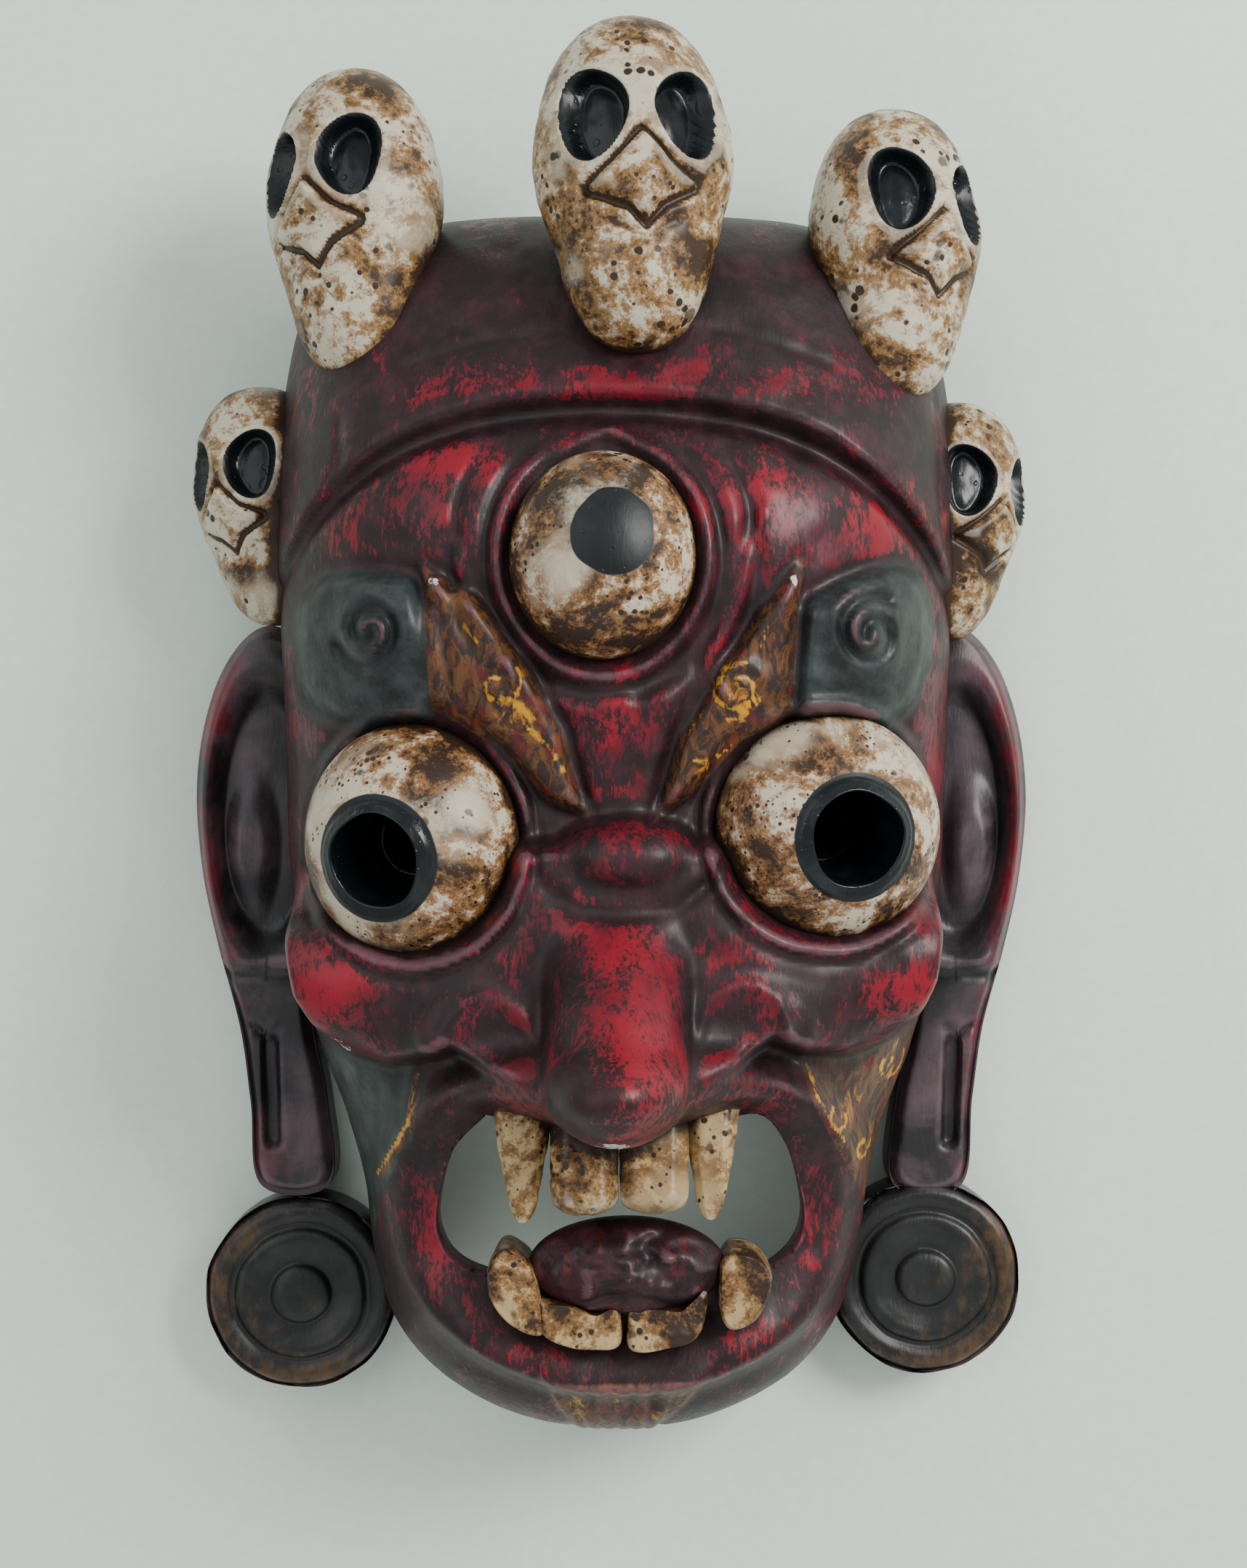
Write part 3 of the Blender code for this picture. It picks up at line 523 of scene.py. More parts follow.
def loft(name, rings, areas=None):
    """A closed piece through rings of points, capped at both ends."""
    rings = np.asarray(rings, dtype=float)
    count, across = rings.shape[:2]
    verts = rings.reshape(-1, 3)
    faces = []
    for i in range(count - 1):
        for j in range(across):
            n = (j + 1) % across
            faces.append((i * across + j, i * across + n, (i + 1) * across + n, (i + 1) * across + j))
    faces.append(tuple(reversed(range(across))))
    faces.append(tuple((count - 1) * across + j for j in range(across)))
    return piece(name, verts, faces, areas)


def solid_from_rows(name, rows, floor):
    """Closes a skin of rows with walls down to a flat floor."""
    count, across = rows.shape[:2]
    verts = list(map(tuple, rows.reshape(-1, 3)))
    faces = []
    for i in range(count - 1):
        for j in range(across - 1):
            a = i * across + j
            faces.append((a, a + across, a + across + 1, a + 1))
    edge = list(range(across))
    edge += [i * across + across - 1 for i in range(1, count)]
    edge += [(count - 1) * across + j for j in range(across - 2, -1, -1)]
    edge += [i * across for i in range(count - 2, 0, -1)]
    low = len(verts)
    verts += [(verts[k][0], verts[k][1], floor) for k in edge]
    for k, here in enumerate(edge):
        after = (k + 1) % len(edge)
        faces.append((here, edge[after], low + after, low + k))
    faces.append(tuple(low + k for k in range(len(edge))))
    return piece(name, verts, faces)


def turned_frame(centre, turns):
    """The matrix of a local frame: turned by X, Y and Z degrees and moved to a centre."""
    turn = np.array(Euler([math.radians(a) for a in turns]).to_matrix())
    return lambda points: np.asarray(points) @ turn.T + np.array(centre, dtype=float)


def oval_ring(half_width, half_length, z, sides):
    """A level ring of points round the origin."""
    turn = np.linspace(0.0, math.tau, sides, endpoint=False)
    return np.column_stack([half_width * np.cos(turn), half_length * np.sin(turn), np.full(sides, z)])


def cut(made, cutter):
    """Cuts a helper body away from a piece."""
    step = made.modifiers.new("cut", "BOOLEAN")
    step.operation = "DIFFERENCE"
    step.solver = "EXACT"
    step.object = cutter


def apply_modifiers(made):
    """Puts the result of the live modifiers into the piece's own mesh."""
    shaped = made.evaluated_get(bpy.context.evaluated_depsgraph_get())
    mesh = bpy.data.meshes.new_from_object(shaped)
    made.modifiers.clear()
    made.data = mesh


def cone(name, centre, levels, turns, sides=96):
    """A round body through levels of height and radius, turned about its centre."""
    to_plan = turned_frame(centre, turns)
    return loft(name, [to_plan(oval_ring(radius, radius, z, sides)) for z, radius in levels])


def prism(name, outline, bottom, top):
    """A straight block with a drawn outline."""
    plan = np.array(outline)
    return loft(name, [np.column_stack([plan, np.full(len(plan), z)]) for z in (bottom, top)])


def bedded(points, depth=BEDDING):
    """Keeps the hidden side of a piece just under the skin that it grows from."""
    skin = skin_height(points[:, 0], points[:, 1]) - depth
    points[:, 2] = np.maximum(points[:, 2], skin)
    return points


def make_head():
    """The carved face, hollowed from behind and open at the mouth and pupils."""
    head = solid_from_rows("carved_face", head_rows(HEAD_ROWS, HEAD_COLUMNS, 0.0, True), 0.0)
    cutters = [
        cone("left_bore", (*LEFT_EYE[:2], EYE_CENTRE_HEIGHT), BORE_LEVELS, LEFT_IRIS_TURN),
        cone("right_bore", (*RIGHT_EYE[:2], EYE_CENTRE_HEIGHT), BORE_LEVELS, RIGHT_IRIS_TURN),
        solid_from_rows("hollow", head_rows(HOLLOW_ROWS, HOLLOW_COLUMNS, WALL, False), -BELOW),
        prism("mouth_opening", rounded(MOUTH_OUTLINE, 120), -BELOW, 200.0),
    ]
    for cutter in cutters:
        cut(head, cutter)
        apply_modifiers(head)
        bpy.data.objects.remove(cutter)
    return head


def make_eyeball(name, form, turn_side, iris_turns):
    """A bulging eye with a low iris ring round a bore that runs through to the hollow."""
    radii = np.array([form[2], form[3], EYE_DEPTH], dtype=float)
    centre = np.array([form[0], form[1], EYE_CENTRE_HEIGHT], dtype=float)
    ball = np.array(Euler((0, math.radians(turn_side * EYE_TURN), 0)).to_matrix())
    iris = np.array(Euler([math.radians(a) for a in iris_turns]).to_matrix())
    turn = np.linspace(0.0, math.tau, EYE_SIDES, endpoint=False)
    rings = []
    for tilt in np.linspace(math.radians(EYE_WRAP), math.asin(IRIS_RADIUS / EYE_REACH), EYE_RINGS):
        way = oval_ring(math.sin(tilt), math.sin(tilt), math.cos(tilt), EYE_SIDES) @ iris.T
        reach = 1.0 / np.linalg.norm((way @ ball) / radii, axis=1)
        rings.append(way * reach[:, None] + centre)
    axis = iris[:, 2]
    edge = rings[-1]
    edge_along = (edge - centre) @ axis
    across = edge - centre - edge_along[:, None] * axis
    across /= np.linalg.norm(across, axis=1)[:, None]
    edge_radius = np.linalg.norm(edge - centre - edge_along[:, None] * axis, axis=1)
    level = edge_along.mean()
    for share, rise in IRIS_PROFILE:
        radius = edge_radius * (1 - share) + PUPIL_RADIUS * share
        radius = radius * (1.0 + 0.02 * np.sin(3.0 * turn + form[0]) + 0.012 * np.sin(5.0 * turn))
        height = edge_along * (1 - share) + (level + PUPIL_RISE) * share + rise
        rings.append(centre + across * radius[:, None] + axis * height[:, None])
    for depth in np.linspace(0.0, 1.0, 24)[1:]:
        height = (level + 2.0) * (1 - depth) + BORE_BOTTOM * depth
        radius = np.interp(height, (BORE_BACK, BORE_TOP), (BORE_BACK_RADIUS, PUPIL_RADIUS))
        points = centre + across * radius + axis * height
        ceiling = plain_height(points[:, 0], points[:, 1], WALL) - 1.0
        short = points[:, 2] < ceiling
        lift = np.where(short, (ceiling - points[:, 2]) / axis[2], 0.0)
        rings.append(points + axis * lift[:, None])
    last = rings[-1] + across * 1.2
    first = bedded(rings[0].copy(), EYE_BEDDING)
    rings = [first] + rings + [last]
    for k in range(1, EYE_RINGS + 2):
        rings[k] = bedded(rings[k], EYE_BEDDING)
    return loft(name, rings), centre, axis


def make_ball(name, centre, radii, wobble):
    """An oval ball bedded in the skin, with the unevenness of hand carving."""
    rings = []
    for tilt in np.linspace(-math.pi / 2, math.pi / 2, 70)[1:-1]:
        reach = math.cos(tilt)
        ring = oval_ring(radii[0] * reach, radii[1] * reach, radii[2] * math.sin(tilt), 110)
        ring = ring * (1.0 + wobble * hand(ring + 50.0, 14.0))[:, None] + np.array(centre, dtype=float)
        rings.append(bedded(ring))
    return loft(name, rings)


NOSE_LINE = ((-18, -7), (-9, 0), (0, 8.5), (9, -1), (18, -5))
LIP_LINE = ((-18, -8), (-11, -10.5), (-4, -13), (1, -18), (7, -12), (18, -7))
NOSE_KITE = ((-17, -7), (0, 8), (17, -6), (8, -11), (1, -17), (-5, -12))


def make_skull(name, centre, sizes, turns):
    """An egg with a narrower jaw, drilled sockets and a carved nose and lip."""
    half_width, half_length, half_depth = sizes
    k = half_width / SKULL_SIZE
    rows, sides = ((176, 150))
    to_plan = turned_frame(centre, turns)
    rings, black, lines = [], [], []
    for step in np.linspace(0.0, math.pi, rows)[1:-1]:
        v = (1.0 - math.cos(step)) / 2.0
        width = (1.0 - (2 * v - 1) ** 2) ** 0.40 * (1.0 - 0.17 * float(smooth(0.4, 0.75, v)))
        y = half_length * (1.0 - 2.0 * v)
        share = np.linspace(-1.0, 1.0, sides, endpoint=False)
        turn = math.pi * share * (0.62 + 0.38 * share**2)
        out = np.stack([np.sin(turn), np.zeros(sides), np.cos(turn)], axis=1)
        ring = np.stack([half_width * width * np.sin(turn), np.full(sides, y),
                         half_depth * width * np.cos(turn)], axis=1)
        s = turn * half_width * max(width, 0.35) / k
        b = np.full(sides, y / k)
        rise = 0.45 * hand(ring + np.array(centre) + 300.0, 11.0) + 0.25 * hand(ring + 300.0, 4.0)
        pit, soot = np.zeros(sides), np.zeros(sides)
        for socket in SOCKETS:
            bearing = np.arctan2(b - socket[1], s - socket[0])
            around = oval(s, b, socket) + 0.05 * np.sin(3 * bearing + socket[0])
            pit = np.maximum(pit, smooth(1.05, 0.84, around))
            soot = np.maximum(soot, smooth(1.14, 0.94, around))
        front = smooth(1.9, 1.5, np.abs(turn))
        kite = inside_outline(s, b, NOSE_KITE)
        rise = rise + front * 1.5 * smooth(-0.5, 4.0, kite)
        rise = rise - front * 2.6 * hump(path_distance(s, b, NOSE_LINE), 0.0, 1.0)
        rise = rise - front * 2.2 * hump(path_distance(s, b, LIP_LINE), 0.0, 1.1)
        rise = rise + front * 1.0 * hump(path_distance(s, b, ((1, 6), (6, -3))), 0.0, 1.3)
        rise = rise - front * 1.0 * hump(path_distance(s, b, ((-9, -16), (1, -21), (10, -16))), 0.0, 1.6)
        ring = ring + out * (k * (rise - SOCKET_DEPTH * pit))[:, None]
        rings.append(bedded(to_plan(ring)))
        black.append(soot)
        near_line = np.minimum(path_distance(s, b, NOSE_LINE), path_distance(s, b, LIP_LINE))
        # Darker near the carved lines and towards the jaw.
        darker_near_lines_and_jaw = 0.30 * hump(near_line, 0.0, 6.0) + 0.12 * smooth(-8, -20, b)
        lines.append(front * np.maximum(hump(near_line, 0.0, 1.2), darker_near_lines_and_jaw))
    return loft(name, rings, {"black": np.concatenate(black), "lines": np.concatenate(lines)})


def ear_height(x, y):
    """Height of the ear's carved face over the plan, for the viewer's right side."""
    z = EAR_HEIGHT - 3.0 * smooth(-70, -100, y)
    recess = oval(x, y, EAR_RECESS)
    z = z - 6.0 * smooth(1.0, 0.78, recess) + 1.6 * hump(recess, 1.10, 0.10)
    lobe = oval(x, y, EAR_LOBE)
    z = z + 4.2 * smooth(1.25, 0.4, lobe)
    z = z - 1.6 * hump(y, -77, 2.2) + 1.2 * hump(y, -73, 2.4)
    z = z - 3.6 * smooth(3.4, 1.8, path_distance(x, y, EAR_SLIT))
    z = z - 1.8 * hump(path_distance(x, y, ((109, -94), (113, -97), (117, -94))), 0.0, 1.4)
    return z


def make_ear(name, side):
    """A flat ear with a rolled rim, a hollow and a lobe; it runs down to the ear disc as a strap."""
    outline = run_through(EAR_OUTLINE + EAR_OUTLINE[:1], 221)[:-1, :2]
    hub = np.array(EAR_HUB, dtype=float)
    rings = []
    for level in (0.0, 0.55 * EAR_HEIGHT, 0.80 * EAR_HEIGHT):
        rings.append(np.column_stack([hub + (outline - hub), np.full(len(outline), level)]))
    for size in 1.0 - np.linspace(0.0, 1.0, 60)[1:-1] ** 1.15:
        plan = hub + (outline - hub) * size
        inner = inside_outline(plan[:, 0], plan[:, 1], tuple(map(tuple, outline)))
        top = ear_height(plan[:, 0], plan[:, 1]) - EAR_ROUND * (1.0 - smooth(0.0, 4.0, inner)) ** 1.5
        rings.append(np.column_stack([plan, top]))
    rings = np.array(rings)
    rings[..., 0] *= side
    shape = rings.shape
    flat = rings.reshape(-1, 3)
    lift = (flat[:, 2] > 15.0) * (0.5 * hand(flat + 200.0, 12.0))
    flat[:, 2] += lift
    return loft(name, flat.reshape(shape))


# Ear disc from its middle to its rim: share of the radius, and depth below the highest ring as a share
DISC_RINGS = (
    (0.0, 0.10), (0.14, 0.08), (0.24, 0.14), (0.29, 0.24), (0.32, 0.40), (0.36, 0.40), (0.50, 0.30),
    (0.60, 0.24), (0.66, 0.30), (0.69, 0.44), (0.72, 0.45), (0.76, 0.36), (0.86, 0.26), (0.92, 0.34),
    (0.97, 0.60), (1.0, 1.0),
)
DISC_DEPTH = 8.0
DISC_MESH = {"Vertices": 140, "Side Segments": 6, "Fill Segments": 58}


def disc_tree():
    """A turned ear disc: a short cylinder whose top follows drawn rings, a little out of true."""
    m, ins, outs = effect(
        "turned ear disc",
        (("Centre", VECTOR, None), ("Radius", FLOAT, 0.031), ("Height", FLOAT, 0.024),
         ("Ring Depth", FLOAT, 0.008), ("Unevenness", FLOAT, 0.0016), ("Seed", FLOAT, 0.0),
         ("Paint", PAINT, None)),
        (("Disc", GEOMETRY),), "GeometryNodeTree")
    sizes = {"Radius": ins["Radius"], "Depth": ins["Height"]}
    body = m.put("GeometryNodeMeshCylinder", DISC_MESH | sizes, fill_type="TRIANGLE_FAN")
    place = m.put("GeometryNodeInputPosition").outputs["Position"]
    x, y, z = m.put("ShaderNodeSeparateXYZ", {"Vector": place}).outputs
    reach = m.math("SQRT", m.plus(m.times(x, x), m.times(y, y)))
    rings = m.put("ShaderNodeFloatCurve", {"Value": m.math("DIVIDE", reach, ins["Radius"])})
    line = rings.mapping.curves[0]
    line.points[0].location, line.points[1].location = DISC_RINGS[0], DISC_RINGS[-1]
    for spot in DISC_RINGS[1:-1]:
        line.points.new(*spot)
    rings.mapping.update()
    on_top = m.math("GREATER_THAN", z, m.times(ins["Height"], 0.49))
    raised = m.math("GREATER_THAN", z, 0.0)
    drop = m.times(m.times(rings.outputs["Value"], ins["Ring Depth"]), on_top)
    wander = m.put("ShaderNodeTexNoise", {"Vector": place, "W": ins["Seed"], "Scale": 55.0, "Detail": 1.5},
                   noise_dimensions="4D")
    tones = m.put("ShaderNodeSeparateXYZ", {"Vector": wander.outputs["Color"]}).outputs
    across, along, up = (m.swing(tone, ins["Unevenness"]) for tone in tones)
    offset = m.put("ShaderNodeCombineXYZ", {
        "X": m.times(across, raised), "Y": m.times(along, raised), "Z": m.minus(m.times(up, on_top), drop)})
    shaped = m.put("GeometryNodeSetPosition", {
        "Geometry": body.outputs["Mesh"], "Offset": offset.outputs["Vector"]})
    moved = m.put("GeometryNodeTransform", {
        "Geometry": shaped.outputs["Geometry"], "Translation": ins["Centre"]})
    close_tree(m, moved.outputs["Geometry"], ins["Paint"], outs["Disc"])
    return m.tree


def tooth_tree():
    """A tooth swept along its line: a squarish section that narrows to a worn tip."""
    m, ins, outs = effect(
        "swept tooth",
        (("Root", VECTOR, None), ("Tip", VECTOR, None), ("Root Width", FLOAT, 0.009),
         ("Tip Width", FLOAT, 0.003), ("Thickness Share", FLOAT, 0.7), ("Unevenness", FLOAT, 0.0012),
         ("Paint", PAINT, None)),
        (("Tooth", GEOMETRY),), "GeometryNodeTree")
    line = m.put("GeometryNodeCurvePrimitiveLine", {"Start": ins["Root"], "End": ins["Tip"]})
    path = m.put("GeometryNodeResampleCurve", {"Curve": line.outputs["Curve"], "Count": 40})
    upright = m.put("GeometryNodeSetCurveNormal", {"Curve": path.outputs["Curve"]}, mode="Z_UP")
    along = m.put("GeometryNodeSplineParameter").outputs["Factor"]
    narrowing = m.minus(ins["Tip Width"], ins["Root Width"])
    change = m.times(narrowing, m.math("POWER", along, 1.5))
    worn = m.math("POWER", m.math("MAXIMUM", m.minus(along, 0.88), 0.0), 2.0)
    end = m.math("SQRT", m.minus(1.0, m.times(worn, 62.0)))
    width = m.times(m.plus(ins["Root Width"], change), end)
    block = m.put("GeometryNodeCurvePrimitiveQuadrilateral", {
        "Width": 2.0, "Height": m.times(ins["Thickness Share"], 2.0)})
    soft = m.put("GeometryNodeFilletCurve", {"Curve": block.outputs["Curve"], "Radius": 0.45})
    section = m.put("GeometryNodeResampleCurve", {"Curve": soft.outputs["Curve"], "Count": 48})
    swept = m.put("GeometryNodeCurveToMesh", {
        "Curve": upright.outputs["Curve"], "Profile Curve": section.outputs["Curve"], "Scale": width,
        "Fill Caps": True})
    wander = m.put("ShaderNodeTexNoise", {"Scale": 190.0})
    centred = m.put("ShaderNodeVectorMath", {0: wander.outputs["Color"], 1: (0.5, 0.5, 0.5)},
                    operation="SUBTRACT")
    sway = m.put("ShaderNodeVectorMath", {0: centred.outputs["Vector"], "Scale": ins["Unevenness"]},
                 operation="SCALE")
    shaped = m.put("GeometryNodeSetPosition", {
        "Geometry": swept.outputs["Mesh"], "Offset": sway.outputs["Vector"]})
    close_tree(m, shaped.outputs["Geometry"], ins["Paint"], outs["Tooth"])
    return m.tree


def close_tree(m, shape, paint, out):
    """Ends a geometry tree: smooth faces, plain geometry and its paint."""
    for kind in ("GeometryNodeSetShadeSmooth", "GeometryNodeRealizeInstances"):
        shape = m.put(kind, {"Geometry": shape}).outputs["Geometry"]
    painted = m.put("GeometryNodeSetMaterial", {"Geometry": shape, "Material": paint})
    m.feed(painted.outputs["Geometry"], out)


def grow(name, tree, **values):
    """Runs a geometry tree with its sizes and keeps the result as a plain piece."""
    made = bpy.data.objects.new(name, bpy.data.meshes.new(name))
    bpy.context.scene.collection.objects.link(made)
    step = made.modifiers.new("grow", "NODES")
    step.node_group = tree
    for item in tree.interface.items_tree:
        label = item.name.replace(" ", "_")
        if item.in_out == "INPUT" and label in values:
            step[item.identifier] = values[label]
    apply_modifiers(made)
    return made


def in_frame(point):
    """A point of the carver's plan in the frame's metres."""
    return tuple(float(c) for c in (np.array(point, dtype=float) + PLAN_SHIFT) * UNIT)


def make_tile(name, outline):
    """A low tooth with a drawn outline, a rounded edge and an uneven top."""
    plan = np.array(rounded(outline, TILE_SIDES))
    middle = plan.mean(axis=0)
    rings = []
    for level in np.linspace(TILE_BOTTOM, TILE_TOP - TILE_ROUND, 8):
        rings.append(np.column_stack([plan, np.full(TILE_SIDES, level)]))
    for step in np.linspace(0.0, 1.0, 22)[1:-1]:
        share = 1.0 - 0.30 * step if step < 0.5 else 0.85 * 2.0 * (1.0 - step)
        level = TILE_TOP - TILE_ROUND * max(1.0 - 2.2 * step, 0.0) ** 2
        ring = np.column_stack([middle + (plan - middle) * share, np.full(TILE_SIDES, level)])
        ring[:, 2] += (0.9 * hand(ring + 70.0, 5.0) + 0.5 * hand(ring + 30.0, 2.4)) * min(3.0 * step, 1.0)
        rings.append(ring)
    return loft(name, rings)


def make_tongue():
    """The lumpy tongue lying behind the lower teeth."""
    rings = []
    for tilt in np.linspace(-math.pi / 2, math.pi / 2, 50)[1:-1]:
        reach, rise = math.cos(tilt), math.sin(tilt)
        ring = oval_ring(TONGUE[2] * reach, TONGUE[3] * reach, TONGUE_THICKNESS * rise, 90)
        bud = hump(oval(ring[:, 0], ring[:, 1], (0, -3, 9, 4)), 0.0, 1.0)
        folds = hump(ring[:, 1] + 0.02 * ring[:, 0] ** 2, -7.0, 1.6)
        lumps = 2.6 * hand(ring + 60.0, 6.0) + 1.4 * hand(ring + 20.0, 3.0) + 2.0 * bud - 2.0 * folds
        ring[:, 2] += lumps * max(rise, 0.0)
        rings.append(ring + np.array([TONGUE[0], TONGUE[1], TONGUE_HEIGHT]))
    return loft("tongue", rings)


# Paint areas
def plan_points(made):
    """A piece's points in the carver's units."""
    points = np.empty(len(made.data.vertices) * 3)
    made.data.vertices.foreach_get("co", points)
    return points.reshape(-1, 3) / UNIT - PLAN_SHIFT


def roundness(made, reach):
    """How far each point stands proud of its surroundings within a reach, in units."""
    mesh = made.data
    count = len(mesh.vertices)
    spacing = math.sqrt(sum(face.area for face in mesh.polygons) / len(mesh.polygons)) / UNIT
    steps = max(1, round(2.0 * (reach / spacing) ** 2))
    edges = np.empty(len(mesh.edges) * 2, dtype=np.int64)
    mesh.edges.foreach_get("vertices", edges)
    a, b = edges.reshape(-1, 2).T
    normals = np.empty(count * 3)
    mesh.vertices.foreach_get("normal", normals)
    normals = normals.reshape(-1, 3)
    here = plan_points(made)
    near = here.copy()
    degree = np.bincount(a, minlength=count) + np.bincount(b, minlength=count)
    for _ in range(steps):
        near = np.stack([(np.bincount(a, near[b, k], count) + np.bincount(b, near[a, k], count))
                         / np.maximum(degree, 1) for k in range(3)], axis=1)
    proud = ((here - near) * normals).sum(axis=1)
    for _ in range(2):
        around = (np.bincount(a, proud[b], count) + np.bincount(b, proud[a], count)) / np.maximum(degree, 1)
        proud = (proud + around) / 2.0
    return proud


def blur(grid, sigma):
    """Softens a grid of heights."""
    reach = int(3 * sigma)
    weights = np.exp(-0.5 * (np.arange(-reach, reach + 1) / sigma) ** 2)
    weights /= weights.sum()
    for axis in (0, 1):
        padded = np.pad(grid, [(reach, reach) if k == axis else (0, 0) for k in (0, 1)], mode="edge")
        grid = np.apply_along_axis(lambda line: np.convolve(line, weights, mode="valid"), axis, padded)
    return grid


PLAN_GRID = (450, 290)


def top_heights(pieces):
    """A plan grid of the highest carved surface, one cell a unit."""
    rows, columns = PLAN_GRID
    grid = np.zeros(PLAN_GRID)
    for made in pieces:
        points = plan_points(made)
        i = np.clip((points[:, 1] + rows // 2).astype(int), 0, rows - 1)
        j = np.clip((points[:, 0] + columns // 2).astype(int), 0, columns - 1)
        np.maximum.at(grid, (i, j), points[:, 2])
    filled = grid.copy()
    for di in (-1, 0, 1):
        for dj in (-1, 0, 1):
            filled = np.maximum(filled, np.roll(np.roll(grid, di, 0), dj, 1))
    return np.where(grid > 5.0, grid, filled)


def look_up(grid, points):
    """Heights of a plan grid at points, blended between its cells."""
    rows, columns = PLAN_GRID
    v, u = points[:, 1] + (rows - 1) / 2, points[:, 0] + (columns - 1) / 2
    i, j = np.clip(v.astype(int), 0, rows - 2), np.clip(u.astype(int), 0, columns - 2)
    a, b = np.clip(v - i, 0.0, 1.0), np.clip(u - j, 0.0, 1.0)
    return (grid[i, j] * (1 - a) * (1 - b) + grid[i + 1, j] * a * (1 - b)
            + grid[i, j + 1] * (1 - a) * b + grid[i + 1, j + 1] * a * b)


def mark_depths(pieces):
    """Marks every piece's recesses for the dark wash and painted shade there, and its proud edges for the
    worn paint.
    """
    tops = top_heights(pieces)
    near, wide = blur(tops, 4.0), blur(tops, 13.0)
    for made in pieces:
        points = plan_points(made)
        sunk = look_up(near, points) - points[:, 2]
        deep = look_up(wide, points) - points[:, 2]
        proud = roundness(made, 2.0)
        broad = roundness(made, 4.5)
        # The recess mark darkens the paint in the hollows, partly as the wash that lies there and partly as
        # painted shade.
        store(made.data, "recess", np.clip(0.12 * sunk + 0.03 * deep - 1.2 * np.minimum(proud, 0.0)
                                         - 0.35 * np.minimum(broad, 0.0), 0.0, 1.0))
        store(made.data, "ridge", np.clip((proud - 0.25) / 0.5, 0.0, 1.0))
        store(made.data, "lift", np.clip(0.5 - 0.05 * deep, 0.0, 1.0))


def soft_area(distance, reach=2.5):
    """0.5 on an outline, 1 inside and 0 outside, over a short reach."""
    return np.clip(0.5 + 0.5 * distance / reach, 0.0, 1.0)


# Gold brush strokes, each a path with its half-width
GOLD_STROKES = (
    (((-31, 9), (-26, 7), (-22, 3)), 2.0), (((-24, 1), (-18, -4), (-13, -12)), 1.3),
    (((-42, 30), (-38, 25)), 1.0), (((31, 12), (33, 18), (39, 19)), 1.3),
    (((43, 9), (40, 4), (34, 3)), 1.2), (((24, -9), (30, -8), (35, -5)), 1.0),
    (((30, -20), (32, -13)), 1.2), (((22, -2), (26, 4)), 0.8), (((46, 31), (43, 24)), 1.0),
    (((58, -98), (61, -107), (64, -113), (70, -122)), 1.0), (((-57, -101), (-60, -116), (-71, -134)), 1.3),
)
# Where gold is dabbed loosely: middle and half-sizes
GOLD_DABS = (
    (73, -112, 7, 8), (86, -103, 6, 5), (80, -124, 4, 8), (-10, -202, 4, 10), (2, -200, 3, 12),
    (14, -202, 4, 10), (-28, 4, 8, 7), (38, 10, 8, 8), (28, -12, 5, 7), (88, -95, 8, 4),
)

GOLD_CURL, GOLD_STROKE, GOLD_DAB = 0.8, 0.72, 0.5
# The ochre line down the left beard, under its gold
BEARD_LINE = ((-57, -101), (-59, -116), (-70, -134))

# Soft oval spots of paint: middle, half-sizes and strength. The bright spots are partly a brighter red and
# partly painted highlight on the lit side, as down the nose's right.
BRIGHT_AND_LIT_SPOTS = (
    (5, -62, 13, 14, 0.6), (8, -94, 10, 22, 1.0), (-84, -74, 14, 9, 0.9), (88, -76, 13, 9, 1.0),
    (-44, 78, 14, 7, 1.0), (40, 72, 22, 10, 0.55), (78, 62, 18, 10, 0.55), (-60, 60, 30, 10, 0.35),
    (-20, -90, 10, 8, 0.7), (-51, -150, 9, 15, 0.7), (56, -152, 10, 16, 0.8), (42, -68, 12, 6, 0.5),
    (3, 4, 7, 14, 0.7), (-12, 100, 60, 7, 0.4), (-38, 125, 24, 12, 0.2), (3, -106, 13, 12, 0.9),
    (-50, 42, 4, 3, 1.0), (-20, -182, 30, 8, 0.35), (45, -180, 20, 8, 0.5),
)
# Spots of heavier dark wash, partly painted shade, as down the nose's left side.
HEAVY_WASH_AND_SHADE = (
    (45, 128, 26, 22, 1.0), (-26, 130, 34, 22, 0.7), (-74, -165, 16, 34, 1.0), (86, -165, 14, 34, 0.6),
    (2, -188, 80, 26, 0.6), (-10, 93, 80, 5, 0.8), (0, 135, 90, 30, 0.9), (92, 80, 16, 30, 0.8),
    (-96, 60, 12, 40, 0.8), (-60, -60, 26, 8, 0.8), (-13, -92, 7, 26, 0.4), (66, -78, 20, 12, 0.9),
    (-55, -118, 20, 12, 0.7), (60, -112, 16, 12, 0.6),
)
CHIP_SPOTS = (
    (2, -115, 7, 2, 1.0), (-84, -92, 7, 2, 1.0), (-50, 42, 3, 1.6, 1.0), (-97, -82, 1.5, 4, 1.0),
    (53, 43, 1.6, 3, 1.0), (-80, -95, 4, 1.5, 1.0),
)


def spotted(x, y, spots):
    """Soft oval spots of paint, the strongest of them at each point."""
    most = np.zeros(len(x))
    for *form, strength in spots:
        most = np.maximum(most, strength * hump(oval(x, y, form), 0.0, 1.0))
    return most


